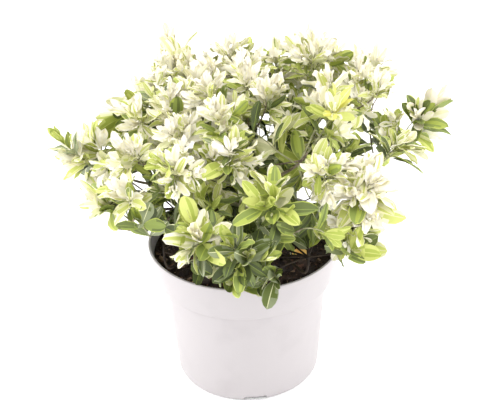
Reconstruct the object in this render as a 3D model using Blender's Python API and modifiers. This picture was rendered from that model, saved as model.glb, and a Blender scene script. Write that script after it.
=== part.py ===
"""Potted variegated kohuhu: a young, many-stemmed evergreen shrub in a round nursery pot.

The plant stands on the flat foot of its pot. The origin is the middle of that foot, +Z is up,
and the side that the picture shows faces -Y. Units are metres.
"""

import math
import random

import bmesh
import bpy
from mathutils import Matrix, Vector
from mathutils.geometry import intersect_ray_tri

# Pot
POT_HEIGHT = 0.147
RIM_RADIUS = 0.095
COLLAR_HEIGHT = 0.038
COLLAR_FOOT_RADIUS = 0.0875
COLLAR_STEP = 0.004
BODY_TOP_RADIUS = 0.0805
BODY_FOOT_RADIUS = 0.072
WALL = 0.002
LIP_HEIGHT = 0.0022
LIP_STEP = 0.0008
FOOT_HEIGHT = 0.0045
FOOT_WIDTH = 0.009
FOOT_ROUNDING = 0.004
FLOOR_THICKNESS = 0.0025
FLOOR_ROUNDING = 0.004
PAD_RADIUS = 0.018
POT_SIDES = 40
NOTCH_COUNT = 4
NOTCH_WIDTH = 0.0265
NOTCH_TOP_WIDTH = 0.0205
NOTCH_HEIGHT = 0.0052
NOTCH_TURN = math.radians(5)
DRAIN_RADIUS = 0.005
DRAIN_RING_RADIUS = 0.050

# Potting soil
GAP = 0.0003
SOIL_DROP = 0.009
SOIL_MOUND = 0.003
SOIL_RINGS = 2
SOIL_TOP = POT_HEIGHT - SOIL_DROP

# Main stem
STEM_HEIGHT = 0.088
STEM_LEAN = Vector((0.006, 0.004, 0.0))
STEM_FLARE_RADIUS = 0.0085
STEM_FOOT_RADIUS = 0.0052
STEM_TIP_RADIUS = 0.0019
STEM_RINGS = 7
STEM_ROUNDING = 3

# Boughs
BOUGH_FOOT_RADIUS = 0.0023
BOUGH_TIP_RADIUS = 0.0013
BOUGH_POINTS = 5
BOUGH_ROUNDING = 1
BOUGH_SHARE = 0.84
BOUGH_SPREAD = 0.55
BOUGH_SLACK = 0.45
BOUGH_RISE = math.radians(34)
BOUGH_FITTINGS = 3

# Crown: how far its leaves reach from the middle of the soil, by the angle above the level
LOW_REACH = 0.100
FRONT_OVERHANG = 0.026
SHOULDER_REACH = 0.226
TOP_REACH = 0.206
RIGHT_LEAN = 0.07
SHOULDER_RISE = math.radians(38)
CROWN_FOOT = Vector((0.0, 0.0, SOIL_TOP))

# Masses of foliage: name, how many round the stem, rise in degrees, first bearing in degrees,
# share of the reach to their middle, height on the stem where their boughs leave it
MASS_RINGS = (
    ("top_foliage", 1, 90, 0, 0.70, 0.0),
    ("upper_foliage", 5, 57, 18, 0.70, 0.055),
    ("side_foliage", 7, 30, -90, 0.70, 0.026),
    ("low_foliage", 5, 14, -64, 0.82, 0.007),
)
BEARING_JITTER = 5.0
HEIGHT_STEP = 0.0034
SPACE_MARGIN = 0.0004

# Shoots: twigs that each end in a whorl of leaves
SEED = 11
LEAF_ROOM = 0.038
SHARE_JITTER = 0.05
SHOOT_SIZES = (0.88, 1.08)
WAY_JITTER = math.radians(4)

# Layers of shoots: how many, share of the reach, lowest rise in degrees
SHOOT_LAYERS = (
    (90, 1.0, 2),
    (50, 0.74, 8),
    (16, 0.50, 24),
)
TWIG_RADII = (0.0011, 0.0010, 0.0008)
LEADER_RADIUS = 0.0013
LEADER_BEND = 0.004
LEADER_FOOT = 0.4
TWIG_TIP = 0.003
LEADER_LENGTHS = (0.034, 0.027, 0.021, 0.016)
FORK_SHARES = (0.93, 0.80, 0.66, 0.54)
SHOOT_LIFT = (0.30, 0.55)
LOWEST_TIP = 0.020
LIMB_CLEARANCE = 0.0012
POT_CLEARANCE = 0.0015
FINE_STEPS = 24

# Long shoots that stand out of the crown: bearing and rise in degrees, share of the reach
LEADING_SHOOTS = (
    (120, 50, 1.09),
    (56, 54, 1.02),
    (42, 42, 1.00),
    (8, 34, 1.04),
    (180, 34, 1.13),
)

# Leaves of one whorl
LEAVES_PER_WHORL = 5
LEAF_LENGTH = 0.046
LEAF_WIDTH = 0.0225
LEAF_FOLD = 0.0013
LEAF_WIDEST = 0.56
LEAF_LIFT = (24, 62)
LIFT_JITTER = 6
YOUNG_SHORTER = 0.18
YOUNG_NARROWER = 0.12
WHORL_STEP = 0.0038
LINE_MARGIN = 1.03
BLADE_FOOT = 0.04
WELD = 0.000004
SAMPLE_FOOT = 0.2

# Twist and lift in degrees, and size, that a leaf tries in turn until it is free
LEAF_TRIES = (
    (0, 0, 1.0),
    (26, 8, 1.0),
    (-26, 8, 1.0),
    (0, 22, 0.94),
    (48, 12, 0.90),
    (-48, 12, 0.90),
    (16, 34, 0.84),
    (-72, 20, 0.80),
)
GOLDEN_ANGLE = math.radians(137.5)


def clear_scene():
    for obj in list(bpy.data.objects):
        bpy.data.objects.remove(obj)


def new_collection(name):
    collection = bpy.data.collections.new(name)
    bpy.context.scene.collection.children.link(collection)
    return collection


def make_material(name, colour, roughness, metallic=0.0):
    material = bpy.data.materials.new(name)
    material.use_nodes = True
    shader = material.node_tree.nodes["Principled BSDF"]
    shader.inputs["Base Color"].default_value = (*colour, 1.0)
    shader.inputs["Roughness"].default_value = roughness
    shader.inputs["Metallic"].default_value = metallic
    material.diffuse_color = (*colour, 1.0)
    return material


def object_from(name, form, collection, material=None):
    mesh = bpy.data.meshes.new(name)
    form.to_mesh(mesh)
    form.free()
    obj = bpy.data.objects.new(name, mesh)
    collection.objects.link(obj)
    if material:
        mesh.materials.append(material)
    return obj


def turned(name, profile, collection, material, sides):
    """A profile of (radius, height) points turned round +Z. It runs down its outer side."""
    form = bmesh.new()
    points = [form.verts.new((radius, 0.0, height)) for radius, height in profile]
    for first, second in zip(points, points[1:]):
        form.edges.new((first, second))
    obj = object_from(name, form, collection, material)
    screw = obj.modifiers.new("turn", "SCREW")
    screw.steps = sides
    screw.render_steps = sides
    screw.use_merge_vertices = True
    screw.merge_threshold = 0.00001
    return obj


def pot_profile():
    """Outer side from the rim down, foot ring, middle pad, and the inner side up to the rim."""
    collar_foot = POT_HEIGHT - COLLAR_HEIGHT
    foot_inner = BODY_FOOT_RADIUS - FOOT_WIDTH
    rounding = [
        (
            BODY_FOOT_RADIUS - FOOT_ROUNDING * (1 - math.cos(angle)),
            FOOT_ROUNDING * (1 - math.sin(angle)),
        )
        for angle in (math.radians(a) for a in (0, 30, 60, 90))
    ]
    floor_top = FOOT_HEIGHT + FLOOR_THICKNESS
    outer = [
        (RIM_RADIUS - WALL * 0.75, POT_HEIGHT),
        (RIM_RADIUS - LIP_STEP * 0.3, POT_HEIGHT - 0.0004),
        (RIM_RADIUS, POT_HEIGHT - LIP_HEIGHT),
        (RIM_RADIUS - LIP_STEP, POT_HEIGHT - LIP_HEIGHT - 0.0005),
        (COLLAR_FOOT_RADIUS, collar_foot + 0.0012),
        (COLLAR_FOOT_RADIUS - 0.0010, collar_foot),
        (BODY_TOP_RADIUS + 0.0008, collar_foot),
        (BODY_TOP_RADIUS, collar_foot - 0.0015),
    ]
    inner = [
        (foot_inner, 0.0),
        (foot_inner - 0.001, FOOT_HEIGHT),
        (PAD_RADIUS + 0.001, FOOT_HEIGHT),
        (PAD_RADIUS, 0.0),
        (0.0, 0.0),
        (0.0, floor_top),
        (BODY_FOOT_RADIUS - WALL - FLOOR_ROUNDING, floor_top),
        (BODY_FOOT_RADIUS - WALL, floor_top + FLOOR_ROUNDING),
        (BODY_TOP_RADIUS - WALL, collar_foot + 0.001),
        (COLLAR_FOOT_RADIUS - WALL, collar_foot + COLLAR_STEP),
        (RIM_RADIUS - LIP_STEP - WALL, POT_HEIGHT - 0.0004),
        (RIM_RADIUS - WALL * 0.75, POT_HEIGHT),
    ]
    return outer + rounding + inner


def build_pot(collection, cutters, material):
    """The turned pot, with notches in its foot and drain holes in its floor."""
    pot = turned("pot", pot_profile(), collection, material, POT_SIDES)
    for k in range(NOTCH_COUNT):
        bearing = -math.pi / 2 + NOTCH_TURN + k * 2 * math.pi / NOTCH_COUNT
        form = bmesh.new()
        bmesh.ops.create_cube(form, size=1.0)
        for corner in form.verts:
            corner.co.y *= 1 - (1 - NOTCH_TOP_WIDTH / NOTCH_WIDTH) * 2 * corner.co.z
        notch = object_from(f"notch_{k + 1}", form, cutters)
        notch.scale = (FOOT_WIDTH * 4, NOTCH_WIDTH, NOTCH_HEIGHT * 2)
        notch.rotation_euler = (0.0, 0.0, bearing)
        ring = BODY_FOOT_RADIUS - FOOT_WIDTH / 2
        notch.location = (ring * math.cos(bearing), ring * math.sin(bearing), 0.0)
        cut(pot, notch)
        form = bmesh.new()
        bmesh.ops.create_cone(
            form, cap_ends=True, segments=16, radius1=DRAIN_RADIUS, radius2=DRAIN_RADIUS,
            depth=FLOOR_THICKNESS * 4,
        )
        drain = object_from(f"drain_{k + 1}", form, cutters)
        drain.location = (
            DRAIN_RING_RADIUS * math.cos(bearing),
            DRAIN_RING_RADIUS * math.sin(bearing),
            FOOT_HEIGHT + FLOOR_THICKNESS / 2,
        )
        cut(pot, drain)
    return pot


def cut(obj, cutter):
    cutter.hide_render = True
    cutter.display_type = "WIRE"
    boolean = obj.modifiers.new(cutter.name, "BOOLEAN")
    boolean.operation = "DIFFERENCE"
    boolean.solver = "EXACT"
    boolean.object = cutter


def soil_height(radius):
    """The soil's surface: a low mound that falls to the wall."""
    share = radius / RIM_RADIUS
    return SOIL_TOP - SOIL_MOUND * share * share


def collar_inside(height):
    """Radius of the wall's inner side within the collar."""
    low = POT_HEIGHT - COLLAR_HEIGHT + COLLAR_STEP
    share = (height - low) / (POT_HEIGHT - low)
    return COLLAR_FOOT_RADIUS - WALL + (RIM_RADIUS - LIP_STEP - COLLAR_FOOT_RADIUS) * share


def build_soil(collection, material):
    """The root ball: it fills the pot a hair clear of the wall."""
    collar_foot = POT_HEIGHT - COLLAR_HEIGHT
    floor_top = FOOT_HEIGHT + FLOOR_THICKNESS
    edge = collar_inside(SOIL_TOP - SOIL_MOUND) - GAP
    radii = [edge * k / SOIL_RINGS for k in range(SOIL_RINGS + 1)]
    profile = [(radius, soil_height(radius)) for radius in radii]
    profile += [
        (COLLAR_FOOT_RADIUS - WALL - GAP, collar_foot + COLLAR_STEP + GAP),
        (BODY_TOP_RADIUS - WALL - GAP, collar_foot + 0.001 + GAP),
        (BODY_FOOT_RADIUS - WALL - GAP, floor_top + FLOOR_ROUNDING),
        (BODY_FOOT_RADIUS - WALL - FLOOR_ROUNDING - GAP, floor_top + GAP),
        (0.0, floor_top + GAP),
    ]
    return turned("potting_soil", profile, collection, material, POT_SIDES)


def limb(name, points, radii, collection, material, rounding):
    """A tapering round limb through the points, closed at both ends."""
    data = bpy.data.curves.new(name, "CURVE")
    data.dimensions = "3D"
    data.bevel_depth = 1.0
    data.bevel_resolution = rounding
    data.use_fill_caps = True
    spline = data.splines.new("POLY")
    spline.points.add(len(points) - 1)
    for target, point, radius in zip(spline.points, points, radii):
        target.co = (*point, 1.0)
        target.radius = radius
    curve = bpy.data.objects.new(name + "_line", data)
    collection.objects.link(curve)
    graph = bpy.context.evaluated_depsgraph_get()
    mesh = bpy.data.meshes.new_from_object(curve.evaluated_get(graph))
    mesh.name = name
    form = bmesh.new()
    form.from_mesh(mesh)
    bmesh.ops.remove_doubles(form, verts=form.verts, dist=0.00001)
    form.to_mesh(mesh)
    form.free()
    bpy.data.objects.remove(curve)
    mesh.materials.clear()
    mesh.materials.append(material)
    obj = bpy.data.objects.new(name, mesh)
    collection.objects.link(obj)
    return obj


def stem_point(height):
    """The middle of the main stem at a height above the soil."""
    share = height / STEM_HEIGHT
    return CROWN_FOOT + STEM_LEAN * share * share + Vector((0.0, 0.0, height))


def stem_radius(height):
    """The stem's taper, with the flare of its root collar."""
    share = height / STEM_HEIGHT
    taper = STEM_FOOT_RADIUS + (STEM_TIP_RADIUS - STEM_FOOT_RADIUS) * share
    return taper + (STEM_FLARE_RADIUS - STEM_FOOT_RADIUS) * math.exp(-share * 16)


def direction(bearing, rise):
    """The unit vector at a bearing from +X and a rise above the level."""
    return Vector(
        (
            math.cos(bearing) * math.cos(rise),
            math.sin(bearing) * math.cos(rise),
            math.sin(rise),
        )
    )


def smooth(share):
    """A share from 0 to 1 that starts and ends gently."""
    share = min(max(share, 0.0), 1.0)
    return share * share * (3 - 2 * share)


def reach(bearing, rise):
    """How far the crown reaches from the middle of the soil. Low leaves hang over the front."""
    lean = 1.0 + RIGHT_LEAN * math.cos(bearing) * math.sin(2 * rise)
    if rise < SHOULDER_RISE:
        low = LOW_REACH + FRONT_OVERHANG * max(-math.sin(bearing), 0.0) ** 2
        return lean * (low + (SHOULDER_REACH - low) * smooth(rise / SHOULDER_RISE))
    share = (rise - SHOULDER_RISE) / (math.pi / 2 - SHOULDER_RISE)
    return lean * (SHOULDER_REACH + (TOP_REACH - SHOULDER_REACH) * smooth(share))


class Mass:
    """One mass of foliage: its name, the middle of its space, and where its bough leaves the stem."""

    def __init__(self, name, bearing, rise, share, leaves_stem_at):
        self.name = name
        self.bearing = bearing
        self.leaves_stem_at = leaves_stem_at
        self.site = CROWN_FOOT + direction(bearing, rise) * reach(bearing, rise) * share
        self.shoots = []


def plan_masses():
    """Rings of masses round the stem. Boughs of one ring leave it at staggered heights."""
    dice = random.Random(SEED)
    masses = []
    for name, count, rise, first, share, height in MASS_RINGS:
        for k in range(count):
            bearing = first + 360 * k / count + dice.uniform(-1, 1) * BEARING_JITTER
            label = f"{name}_{k + 1}" if count > 1 else name
            stagger = HEIGHT_STEP * ((k * 3) % count)
            way = (math.radians(bearing), math.radians(rise))
            masses.append(Mass(label, *way, share, height + stagger))
    return masses


def bough_line(mass):
    """The bough leaves the stem outwards and bends up to its mass."""
    height = mass.leaves_stem_at
    target = CROWN_FOOT + (mass.site - CROWN_FOOT) * BOUGH_SHARE
    out = direction(mass.bearing, BOUGH_RISE)
    tilt = math.sin(BOUGH_RISE)
    for _ in range(BOUGH_FITTINGS):
        seat = stem_radius(height) + GAP + BOUGH_FOOT_RADIUS * tilt
        start = stem_point(height) + direction(mass.bearing, 0.0) * seat
        elbow = start + out * ((target - start).length * BOUGH_SPREAD)
        elbow = elbow.lerp((start + target) / 2, BOUGH_SLACK)
        points = []
        for k in range(BOUGH_POINTS):
            t = k / (BOUGH_POINTS - 1)
            points.append(start * (1 - t) ** 2 + elbow * 2 * t * (1 - t) + target * t * t)
        tilt = (points[1] - points[0]).normalized().z
    return points


def bough_radii():
    steps = [k / (BOUGH_POINTS - 1) for k in range(BOUGH_POINTS)]
    return [BOUGH_FOOT_RADIUS + (BOUGH_TIP_RADIUS - BOUGH_FOOT_RADIUS) * t for t in steps]


def inside_space(point, mass, masses):
    """Whether a point is nearer to its own mass than to any other, with a margin."""
    for other in masses:
        if other is mass:
            continue
        away = other.site - mass.site
        middle = (other.site + mass.site) / 2
        if (point - middle).dot(away.normalized()) > -SPACE_MARGIN:
            return False
    return True


def clear_of_pot(point):
    """Whether a point is above the rim, outside the pot, or over the soil within it."""
    level = math.hypot(point.x, point.y)
    if point.z > POT_HEIGHT + POT_CLEARANCE:
        return True
    if level > RIM_RADIUS + POT_CLEARANCE:
        return True
    inner = RIM_RADIUS - WALL - LIP_STEP - POT_CLEARANCE * 2
    return level < inner and point.z > SOIL_TOP + POT_CLEARANCE


def lines_clear_of_pot(lines):
    """Tested finely, because the pot's wall is thin."""
    return all(clear_of_pot(point) for line in lines for point in samples(*line, FINE_STEPS))


def segment_distance(point, start, end):
    along = end - start
    t = min(max((point - start).dot(along) / along.length_squared, 0.0), 1.0)
    return (point - start - along * t).length


def clear_of_limbs(point, limbs):
    return all(
        segment_distance(point, start, end) > radius + LIMB_CLEARANCE
        for start, end, radius in limbs
    )


def samples(start, end, count=6):
    return [start.lerp(end, k / count) for k in range(count + 1)]


def free(points, mass, masses, limbs):
    """Whether the points keep to the mass's space, clear of the pot and of every limb."""
    return all(
        inside_space(point, mass, masses)
        and clear_of_pot(point)
        and clear_of_limbs(point, limbs)
        for point in points
    )


class Shoot:
    """A twig's end: where its whorl of leaves sits and which way it points."""

    def __init__(self, tip, axis, scale):
        self.tip = tip
        self.axis = axis
        self.scale = scale


def spread_directions(count, lowest, dice):
    """Directions spread evenly over the crown by the golden angle, each a little astray."""
    low = math.sin(lowest)
    for k in range(count):
        height = low + (1 - low) * (k + 0.5) / count
        rise = math.asin(height) + dice.uniform(-1, 1) * WAY_JITTER
        yield k * GOLDEN_ANGLE + dice.uniform(-1, 1) * WAY_JITTER, rise


def plan_shoots(masses):
    """Gives each mass the shoots whose whorls fall in its space."""
    dice = random.Random(SEED + 1)
    planned = []
    for count, share, lowest in SHOOT_LAYERS:
        for bearing, rise in spread_directions(count, math.radians(lowest), dice):
            size = dice.uniform(*SHOOT_SIZES)
            length = reach(bearing, rise) * share * (1 + dice.uniform(-1, 1) * SHARE_JITTER)
            planned.append((bearing, rise, length - LEAF_ROOM * size, size))
    for bearing, rise, share in LEADING_SHOOTS:
        way = (math.radians(bearing), math.radians(rise))
        planned.append((*way, reach(*way) * share - LEAF_ROOM, 1.0))
    for bearing, rise, length, size in planned:
        outward = direction(bearing, rise)
        tip = CROWN_FOOT + outward * length
        tip.z = max(tip.z, POT_HEIGHT + LOWEST_TIP)
        lift = SHOOT_LIFT[0] + (SHOOT_LIFT[1] - SHOOT_LIFT[0]) * smooth(rise / SHOULDER_RISE)
        axis = (outward + Vector((0.0, 0.0, lift))).normalized()
        mass = min(masses, key=lambda m: (tip - m.site).length)
        mass.shoots.append(Shoot(tip, axis, size))


def pointing(axis):
    """Turns +Z to the axis."""
    return axis.to_track_quat("Z", "Y").to_matrix().to_4x4()


def face_outwards(form):
    bmesh.ops.recalc_face_normals(form, faces=form.faces)
    if form.calc_volume(signed=True) < 0:
        bmesh.ops.reverse_faces(form, faces=form.faces)
    return form


def twig_form(points, radii):
    """A three-sided tapering twig swept through the points."""
    form = bmesh.new()
    ways = [(after - before).normalized() for before, after in zip(points, points[1:])]
    ways = [ways[0]] + [(a + b).normalized() for a, b in zip(ways, ways[1:])] + [ways[-1]]
    turn = pointing(ways[0])
    before = []
    for k, (point, radius) in enumerate(zip(points, radii)):
        if k:
            turn = ways[k - 1].rotation_difference(ways[k]).to_matrix().to_4x4() @ turn
        place = Matrix.Translation(point) @ turn
        ring = bmesh.ops.create_circle(form, segments=3, radius=radius, matrix=place)["verts"]
        edges = list({edge for vert in ring for edge in vert.link_edges})
        if before:
            bmesh.ops.bridge_loops(form, edges=before + edges)
        before = edges
    bmesh.ops.holes_fill(form, edges=form.edges, sides=3)
    return face_outwards(form)


def leaf_corners(root, along, side, up, length, width):
    """Tip, left and right corner. The corners stand above the midrib, which folds the leaf."""
    middle = root + along * length * LEAF_WIDEST + up * LEAF_FOLD
    return root + along * length, middle + side * width / 2, middle - side * width / 2


def leaf_form(root, corners):
    """A pointed leaf, keeled along its midrib: the solid between its root and three corners."""
    form = bmesh.new()
    for corner in (root, *corners):
        form.verts.new(corner)
    bmesh.ops.convex_hull(form, input=form.verts)
    return face_outwards(form)


def leaf_options(shoot, place, turn, dice):
    """Root and corners of one leaf of a whorl, counted from the lowest, in the order to try."""
    across = shoot.axis.orthogonal().normalized()
    beside = shoot.axis.cross(across)
    share = place / (LEAVES_PER_WHORL - 1)
    root = shoot.tip - shoot.axis * WHORL_STEP * (LEAVES_PER_WHORL - 1 - place)
    lift = LEAF_LIFT[1] + (LEAF_LIFT[0] - LEAF_LIFT[1]) * share
    lift += dice.uniform(-1, 1) * LIFT_JITTER
    for twist, raised, smaller in LEAF_TRIES:
        angle = turn + place * GOLDEN_ANGLE + math.radians(twist)
        tilt = math.radians(lift - raised)
        spread = across * math.cos(angle) + beside * math.sin(angle)
        along = (shoot.axis * math.cos(tilt) + spread * math.sin(tilt)).normalized()
        side = along.cross(shoot.axis).normalized()
        size = shoot.scale * smaller
        length = LEAF_LENGTH * size * (1.0 - YOUNG_SHORTER * share)
        width = LEAF_WIDTH * size * (1.0 - YOUNG_NARROWER * share)
        yield root, leaf_corners(root, along, side, side.cross(along), length, width)


def leaf_samples(root, corners):
    """Points along the leaf's midrib and edges, from a little past its root."""
    tip, left, right = corners
    points = samples(root.lerp(tip, SAMPLE_FOOT), tip)
    for corner in (left, right):
        points += samples(root.lerp(corner, SAMPLE_FOOT), corner, 4) + samples(corner, tip, 4)
    return points


def leaf_blade(root, corners):
    """The leaf's outline past its root, as two triangles and the lines round them."""
    tip, left, right = corners
    foot = root.lerp(tip, BLADE_FOOT)
    triangles = ((foot, left, tip), (foot, tip, right))
    lines = ((foot, left), (left, tip), (tip, right), (right, foot), (foot, tip))
    return triangles, lines


def crosses(blade, blades, twigs):
    """Whether a blade cuts through another blade or a twig."""
    triangles, lines = blade
    for start, end in twigs:
        if any(cuts(start, end, triangle) for triangle in triangles):
            return True
    for others, other_lines in blades:
        if any(cuts(*line, triangle) for line in lines for triangle in others):
            return True
        if any(cuts(*line, triangle) for line in other_lines for triangle in triangles):
            return True
    return False


def cuts(start, end, triangle):
    along = end - start
    hit = intersect_ray_tri(*triangle, along, start, True)
    return hit is not None and (hit - start).length < along.length * LINE_MARGIN


def largest_solid(mesh):
    """Drops loose scraps and the skins of sealed hollows, which share no edge with the rest."""
    form = bmesh.new()
    form.from_mesh(mesh)
    bmesh.ops.remove_doubles(form, verts=form.verts, dist=WELD)
    bmesh.ops.triangulate(form, faces=form.faces)
    left = set(form.faces)
    pieces = []
    while left:
        stack = [left.pop()]
        piece = set(stack)
        while stack:
            for edge in stack.pop().edges:
                for face in edge.link_faces:
                    if face in left and len(edge.link_faces) == 2:
                        left.remove(face)
                        piece.add(face)
                        stack.append(face)
        pieces.append(piece)
    keep = max(pieces, key=len)
    scraps = [face for piece in pieces if piece is not keep for face in piece]
    bmesh.ops.delete(form, geom=scraps, context="FACES")
    form.to_mesh(mesh)
    form.free()


def leader_end(start, way, mass, masses, limbs):
    """Where the mass's leader ends: on from the bough's tip, out towards the mass's middle."""
    outward = (mass.site - CROWN_FOOT).normalized()
    heading = (way + outward).normalized()
    for length in LEADER_LENGTHS:
        hub = start + heading * length
        if free(samples(start.lerp(hub, LEADER_FOOT), hub, FINE_STEPS), mass, masses, limbs):
            break
    return hub


def twig_route(shoot, start, hub, mass, masses, limbs):
    """A twig from the leader to the shoot's tip that keeps to the space, or None."""
    foot = shoot.tip - shoot.axis * WHORL_STEP * (LEAVES_PER_WHORL - 0.5)
    for share in FORK_SHARES:
        fork = start.lerp(hub, share)
        route = samples(fork, foot, FINE_STEPS)[3:] + samples(foot, shoot.tip)
        corners = [fork, foot, shoot.tip + shoot.axis * TWIG_TIP]
        lines = zip(corners, corners[1:])
        if free(route, mass, masses, limbs) and lines_clear_of_pot(lines):
            return corners
    return None


def build_mass(mass, masses, limbs, carrier_tip, carrier_way, collection, scraps, material):
    """Twigs that fan out from one leader, each with its whorl, fused into one solid."""
    dice = random.Random(f"{SEED} {mass.name}")
    start = carrier_tip + carrier_way * GAP
    hub = leader_end(start, carrier_way, mass, masses, limbs)
    leader = twig_form([start, start + carrier_way * LEADER_BEND, hub], [LEADER_RADIUS] * 3)
    core = object_from(mass.name, leader, collection, material)
    grown = []
    for shoot in mass.shoots:
        route = twig_route(shoot, start, hub, mass, masses, limbs)
        if route:
            grown.append((shoot, route))
    twigs = [pair for _, route in grown for pair in zip(route, route[1:])]
    twigs += [(first, second) for first, second, _ in limbs]
    forms = [twig_form(route, TWIG_RADII) for _, route in grown]
    blades = []
    for shoot, _ in grown:
        turn = dice.uniform(0, 2 * math.pi)
        for place in range(LEAVES_PER_WHORL):
            for root, corners in leaf_options(shoot, place, turn, dice):
                blade = leaf_blade(root, corners)
                if crosses(blade, blades, twigs) or not lines_clear_of_pot(blade[1]):
                    continue
                if free(leaf_samples(root, corners), mass, masses, limbs):
                    forms.append(leaf_form(root, corners))
                    blades.append(blade)
                    break
    for form in forms:
        object_from(f"{mass.name}_part", form, scraps)
    fuse(core, scraps)


def fuse(core, scraps):
    """One union of the core with everything in the collection, which is then emptied."""
    for solver in ("EXACT", "MANIFOLD"):
        union = core.modifiers.new("union", "BOOLEAN")
        union.operation = "UNION"
        union.operand_type = "COLLECTION"
        union.collection = scraps
        union.solver = solver
        graph = bpy.context.evaluated_depsgraph_get()
        mesh = bpy.data.meshes.new_from_object(core.evaluated_get(graph))
        core.modifiers.clear()
        if is_closed(mesh):
            break
    old = core.data
    core.data = mesh
    bpy.data.meshes.remove(old)
    largest_solid(core.data)
    for obj in list(scraps.objects):
        bpy.data.objects.remove(obj)


def is_closed(mesh):
    form = bmesh.new()
    form.from_mesh(mesh)
    closed = bool(form.edges) and all(edge.is_manifold for edge in form.edges)
    form.free()
    return closed


def limb_lines(points, radii):
    """The limb as lines, each with its larger radius, for the clearance tests."""
    ends = zip(points, points[1:], radii, radii[1:])
    return [(first, second, max(pair)) for first, second, *pair in ends]


def build_stem(collection, material):
    """The short main stem, from its flat foot on the soil to its tip."""
    heights = [STEM_HEIGHT * (k / (STEM_RINGS - 1)) ** 1.5 for k in range(STEM_RINGS)]
    points = [stem_point(height) for height in heights]
    points[0] = points[0] + Vector((0.0, 0.0, GAP))
    radii = [stem_radius(height) for height in heights]
    limb("main_stem", points, radii, collection, material, STEM_ROUNDING)
    return points, limb_lines(points, radii)


def build_boughs(masses, collection, material):
    """A bough to each mass but the top one. Returns their lines and where each ends."""
    lines = []
    ends = {}
    for mass in masses:
        if not mass.leaves_stem_at:
            continue
        points = bough_line(mass)
        radii = bough_radii()
        limb("bough_to_" + mass.name, points, radii, collection, material, BOUGH_ROUNDING)
        lines += limb_lines(points, radii)
        ends[mass.name] = (points[-1], (points[-1] - points[-2]).normalized())
    return lines, ends


def main():
    clear_scene()
    plant = new_collection("potted_kohuhu")
    cutters = new_collection("cutters")
    scraps = new_collection("twigs_and_leaves")
    plastic = make_material("pot_plastic", (0.86, 0.85, 0.86), 0.45)
    soil = make_material("soil", (0.045, 0.030, 0.022), 0.95)
    bark = make_material("bark", (0.23, 0.18, 0.13), 0.8)
    leaf = make_material("variegated_leaf", (0.55, 0.62, 0.30), 0.45)

    build_pot(plant, cutters, plastic)
    build_soil(plant, soil)
    stem, limbs = build_stem(plant, bark)
    masses = plan_masses()
    plan_shoots(masses)
    bough_lines, ends = build_boughs(masses, plant, bark)
    limbs += bough_lines
    top = (stem[-1], (stem[-1] - stem[-2]).normalized())
    for mass in masses:
        tip, way = ends.get(mass.name, top)
        build_mass(mass, masses, limbs, tip, way, plant, scraps, leaf)


main()
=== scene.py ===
import math
import random

import bmesh
import bpy
import numpy as np
from mathutils import Matrix, Vector, noise


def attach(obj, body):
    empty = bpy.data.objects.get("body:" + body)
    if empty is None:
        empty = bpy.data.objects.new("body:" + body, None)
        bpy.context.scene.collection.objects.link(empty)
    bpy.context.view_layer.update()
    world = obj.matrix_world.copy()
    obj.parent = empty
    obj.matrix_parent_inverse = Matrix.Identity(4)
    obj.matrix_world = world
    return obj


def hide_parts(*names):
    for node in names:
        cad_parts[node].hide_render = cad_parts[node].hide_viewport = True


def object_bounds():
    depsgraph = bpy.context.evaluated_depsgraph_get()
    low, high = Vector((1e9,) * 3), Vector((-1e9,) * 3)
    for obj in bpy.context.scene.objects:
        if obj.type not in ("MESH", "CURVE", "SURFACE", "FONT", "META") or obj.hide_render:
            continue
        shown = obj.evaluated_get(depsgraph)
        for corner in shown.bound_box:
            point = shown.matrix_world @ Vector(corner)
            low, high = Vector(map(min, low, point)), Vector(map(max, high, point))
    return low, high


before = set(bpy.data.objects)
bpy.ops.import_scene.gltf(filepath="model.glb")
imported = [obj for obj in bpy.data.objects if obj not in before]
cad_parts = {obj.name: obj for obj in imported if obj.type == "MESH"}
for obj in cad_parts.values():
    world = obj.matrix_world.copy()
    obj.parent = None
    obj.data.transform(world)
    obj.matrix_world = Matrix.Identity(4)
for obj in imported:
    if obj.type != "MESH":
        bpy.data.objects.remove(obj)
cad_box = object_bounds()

# A young variegated kohuhu in its nursery pot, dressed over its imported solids. Everything rides
# on the one body, "root". Metres, +Z up, and the side that the picture shows faces -Y.

# Pot: a round nursery pot of off-white polypropylene, injection moulded in one piece about 2 mm
# thick, with a thin beaded lip, a deep tapered collar that steps in to the body, and a foot ring
# with drain notches. The surface is satin, with faint flow marks and light handling wear.
POT_HEIGHT = 0.147
RIM_RADIUS = 0.095
COLLAR_HEIGHT = 0.038
COLLAR_FOOT_RADIUS = 0.0875
COLLAR_STEP = 0.004
BODY_TOP_RADIUS = 0.0805
BODY_FOOT_RADIUS = 0.072
WALL = 0.002
LIP_HEIGHT = 0.0022
LIP_STEP = 0.0008
# How much of the lip's step and of its height the rounding of its top takes
LIP_BEAD = (0.9, 0.75)
FOOT_HEIGHT = 0.0045
FOOT_WIDTH = 0.009
FOOT_ROUNDING = 0.004
FOOT_DRAFT = 0.001
FLOOR_THICKNESS = 0.0025
FLOOR_ROUNDING = 0.004
PAD_RADIUS = 0.018
POT_SIDES = 160
POT_CREASE = math.radians(32)
NOTCH_COUNT = 4
NOTCH_WIDTH = 0.0265
NOTCH_TOP_WIDTH = 0.0205
NOTCH_HEIGHT = 0.0052
NOTCH_TURN = math.radians(5)
DRAIN_RADIUS = 0.005
DRAIN_RING_RADIUS = 0.050
DRAIN_SIDES = 32
COLLAR_FOOT = POT_HEIGHT - COLLAR_HEIGHT
BODY_INSIDE_TOP = COLLAR_FOOT + WALL / 2
FLOOR_TOP = FOOT_HEIGHT + FLOOR_THICKNESS
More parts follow.
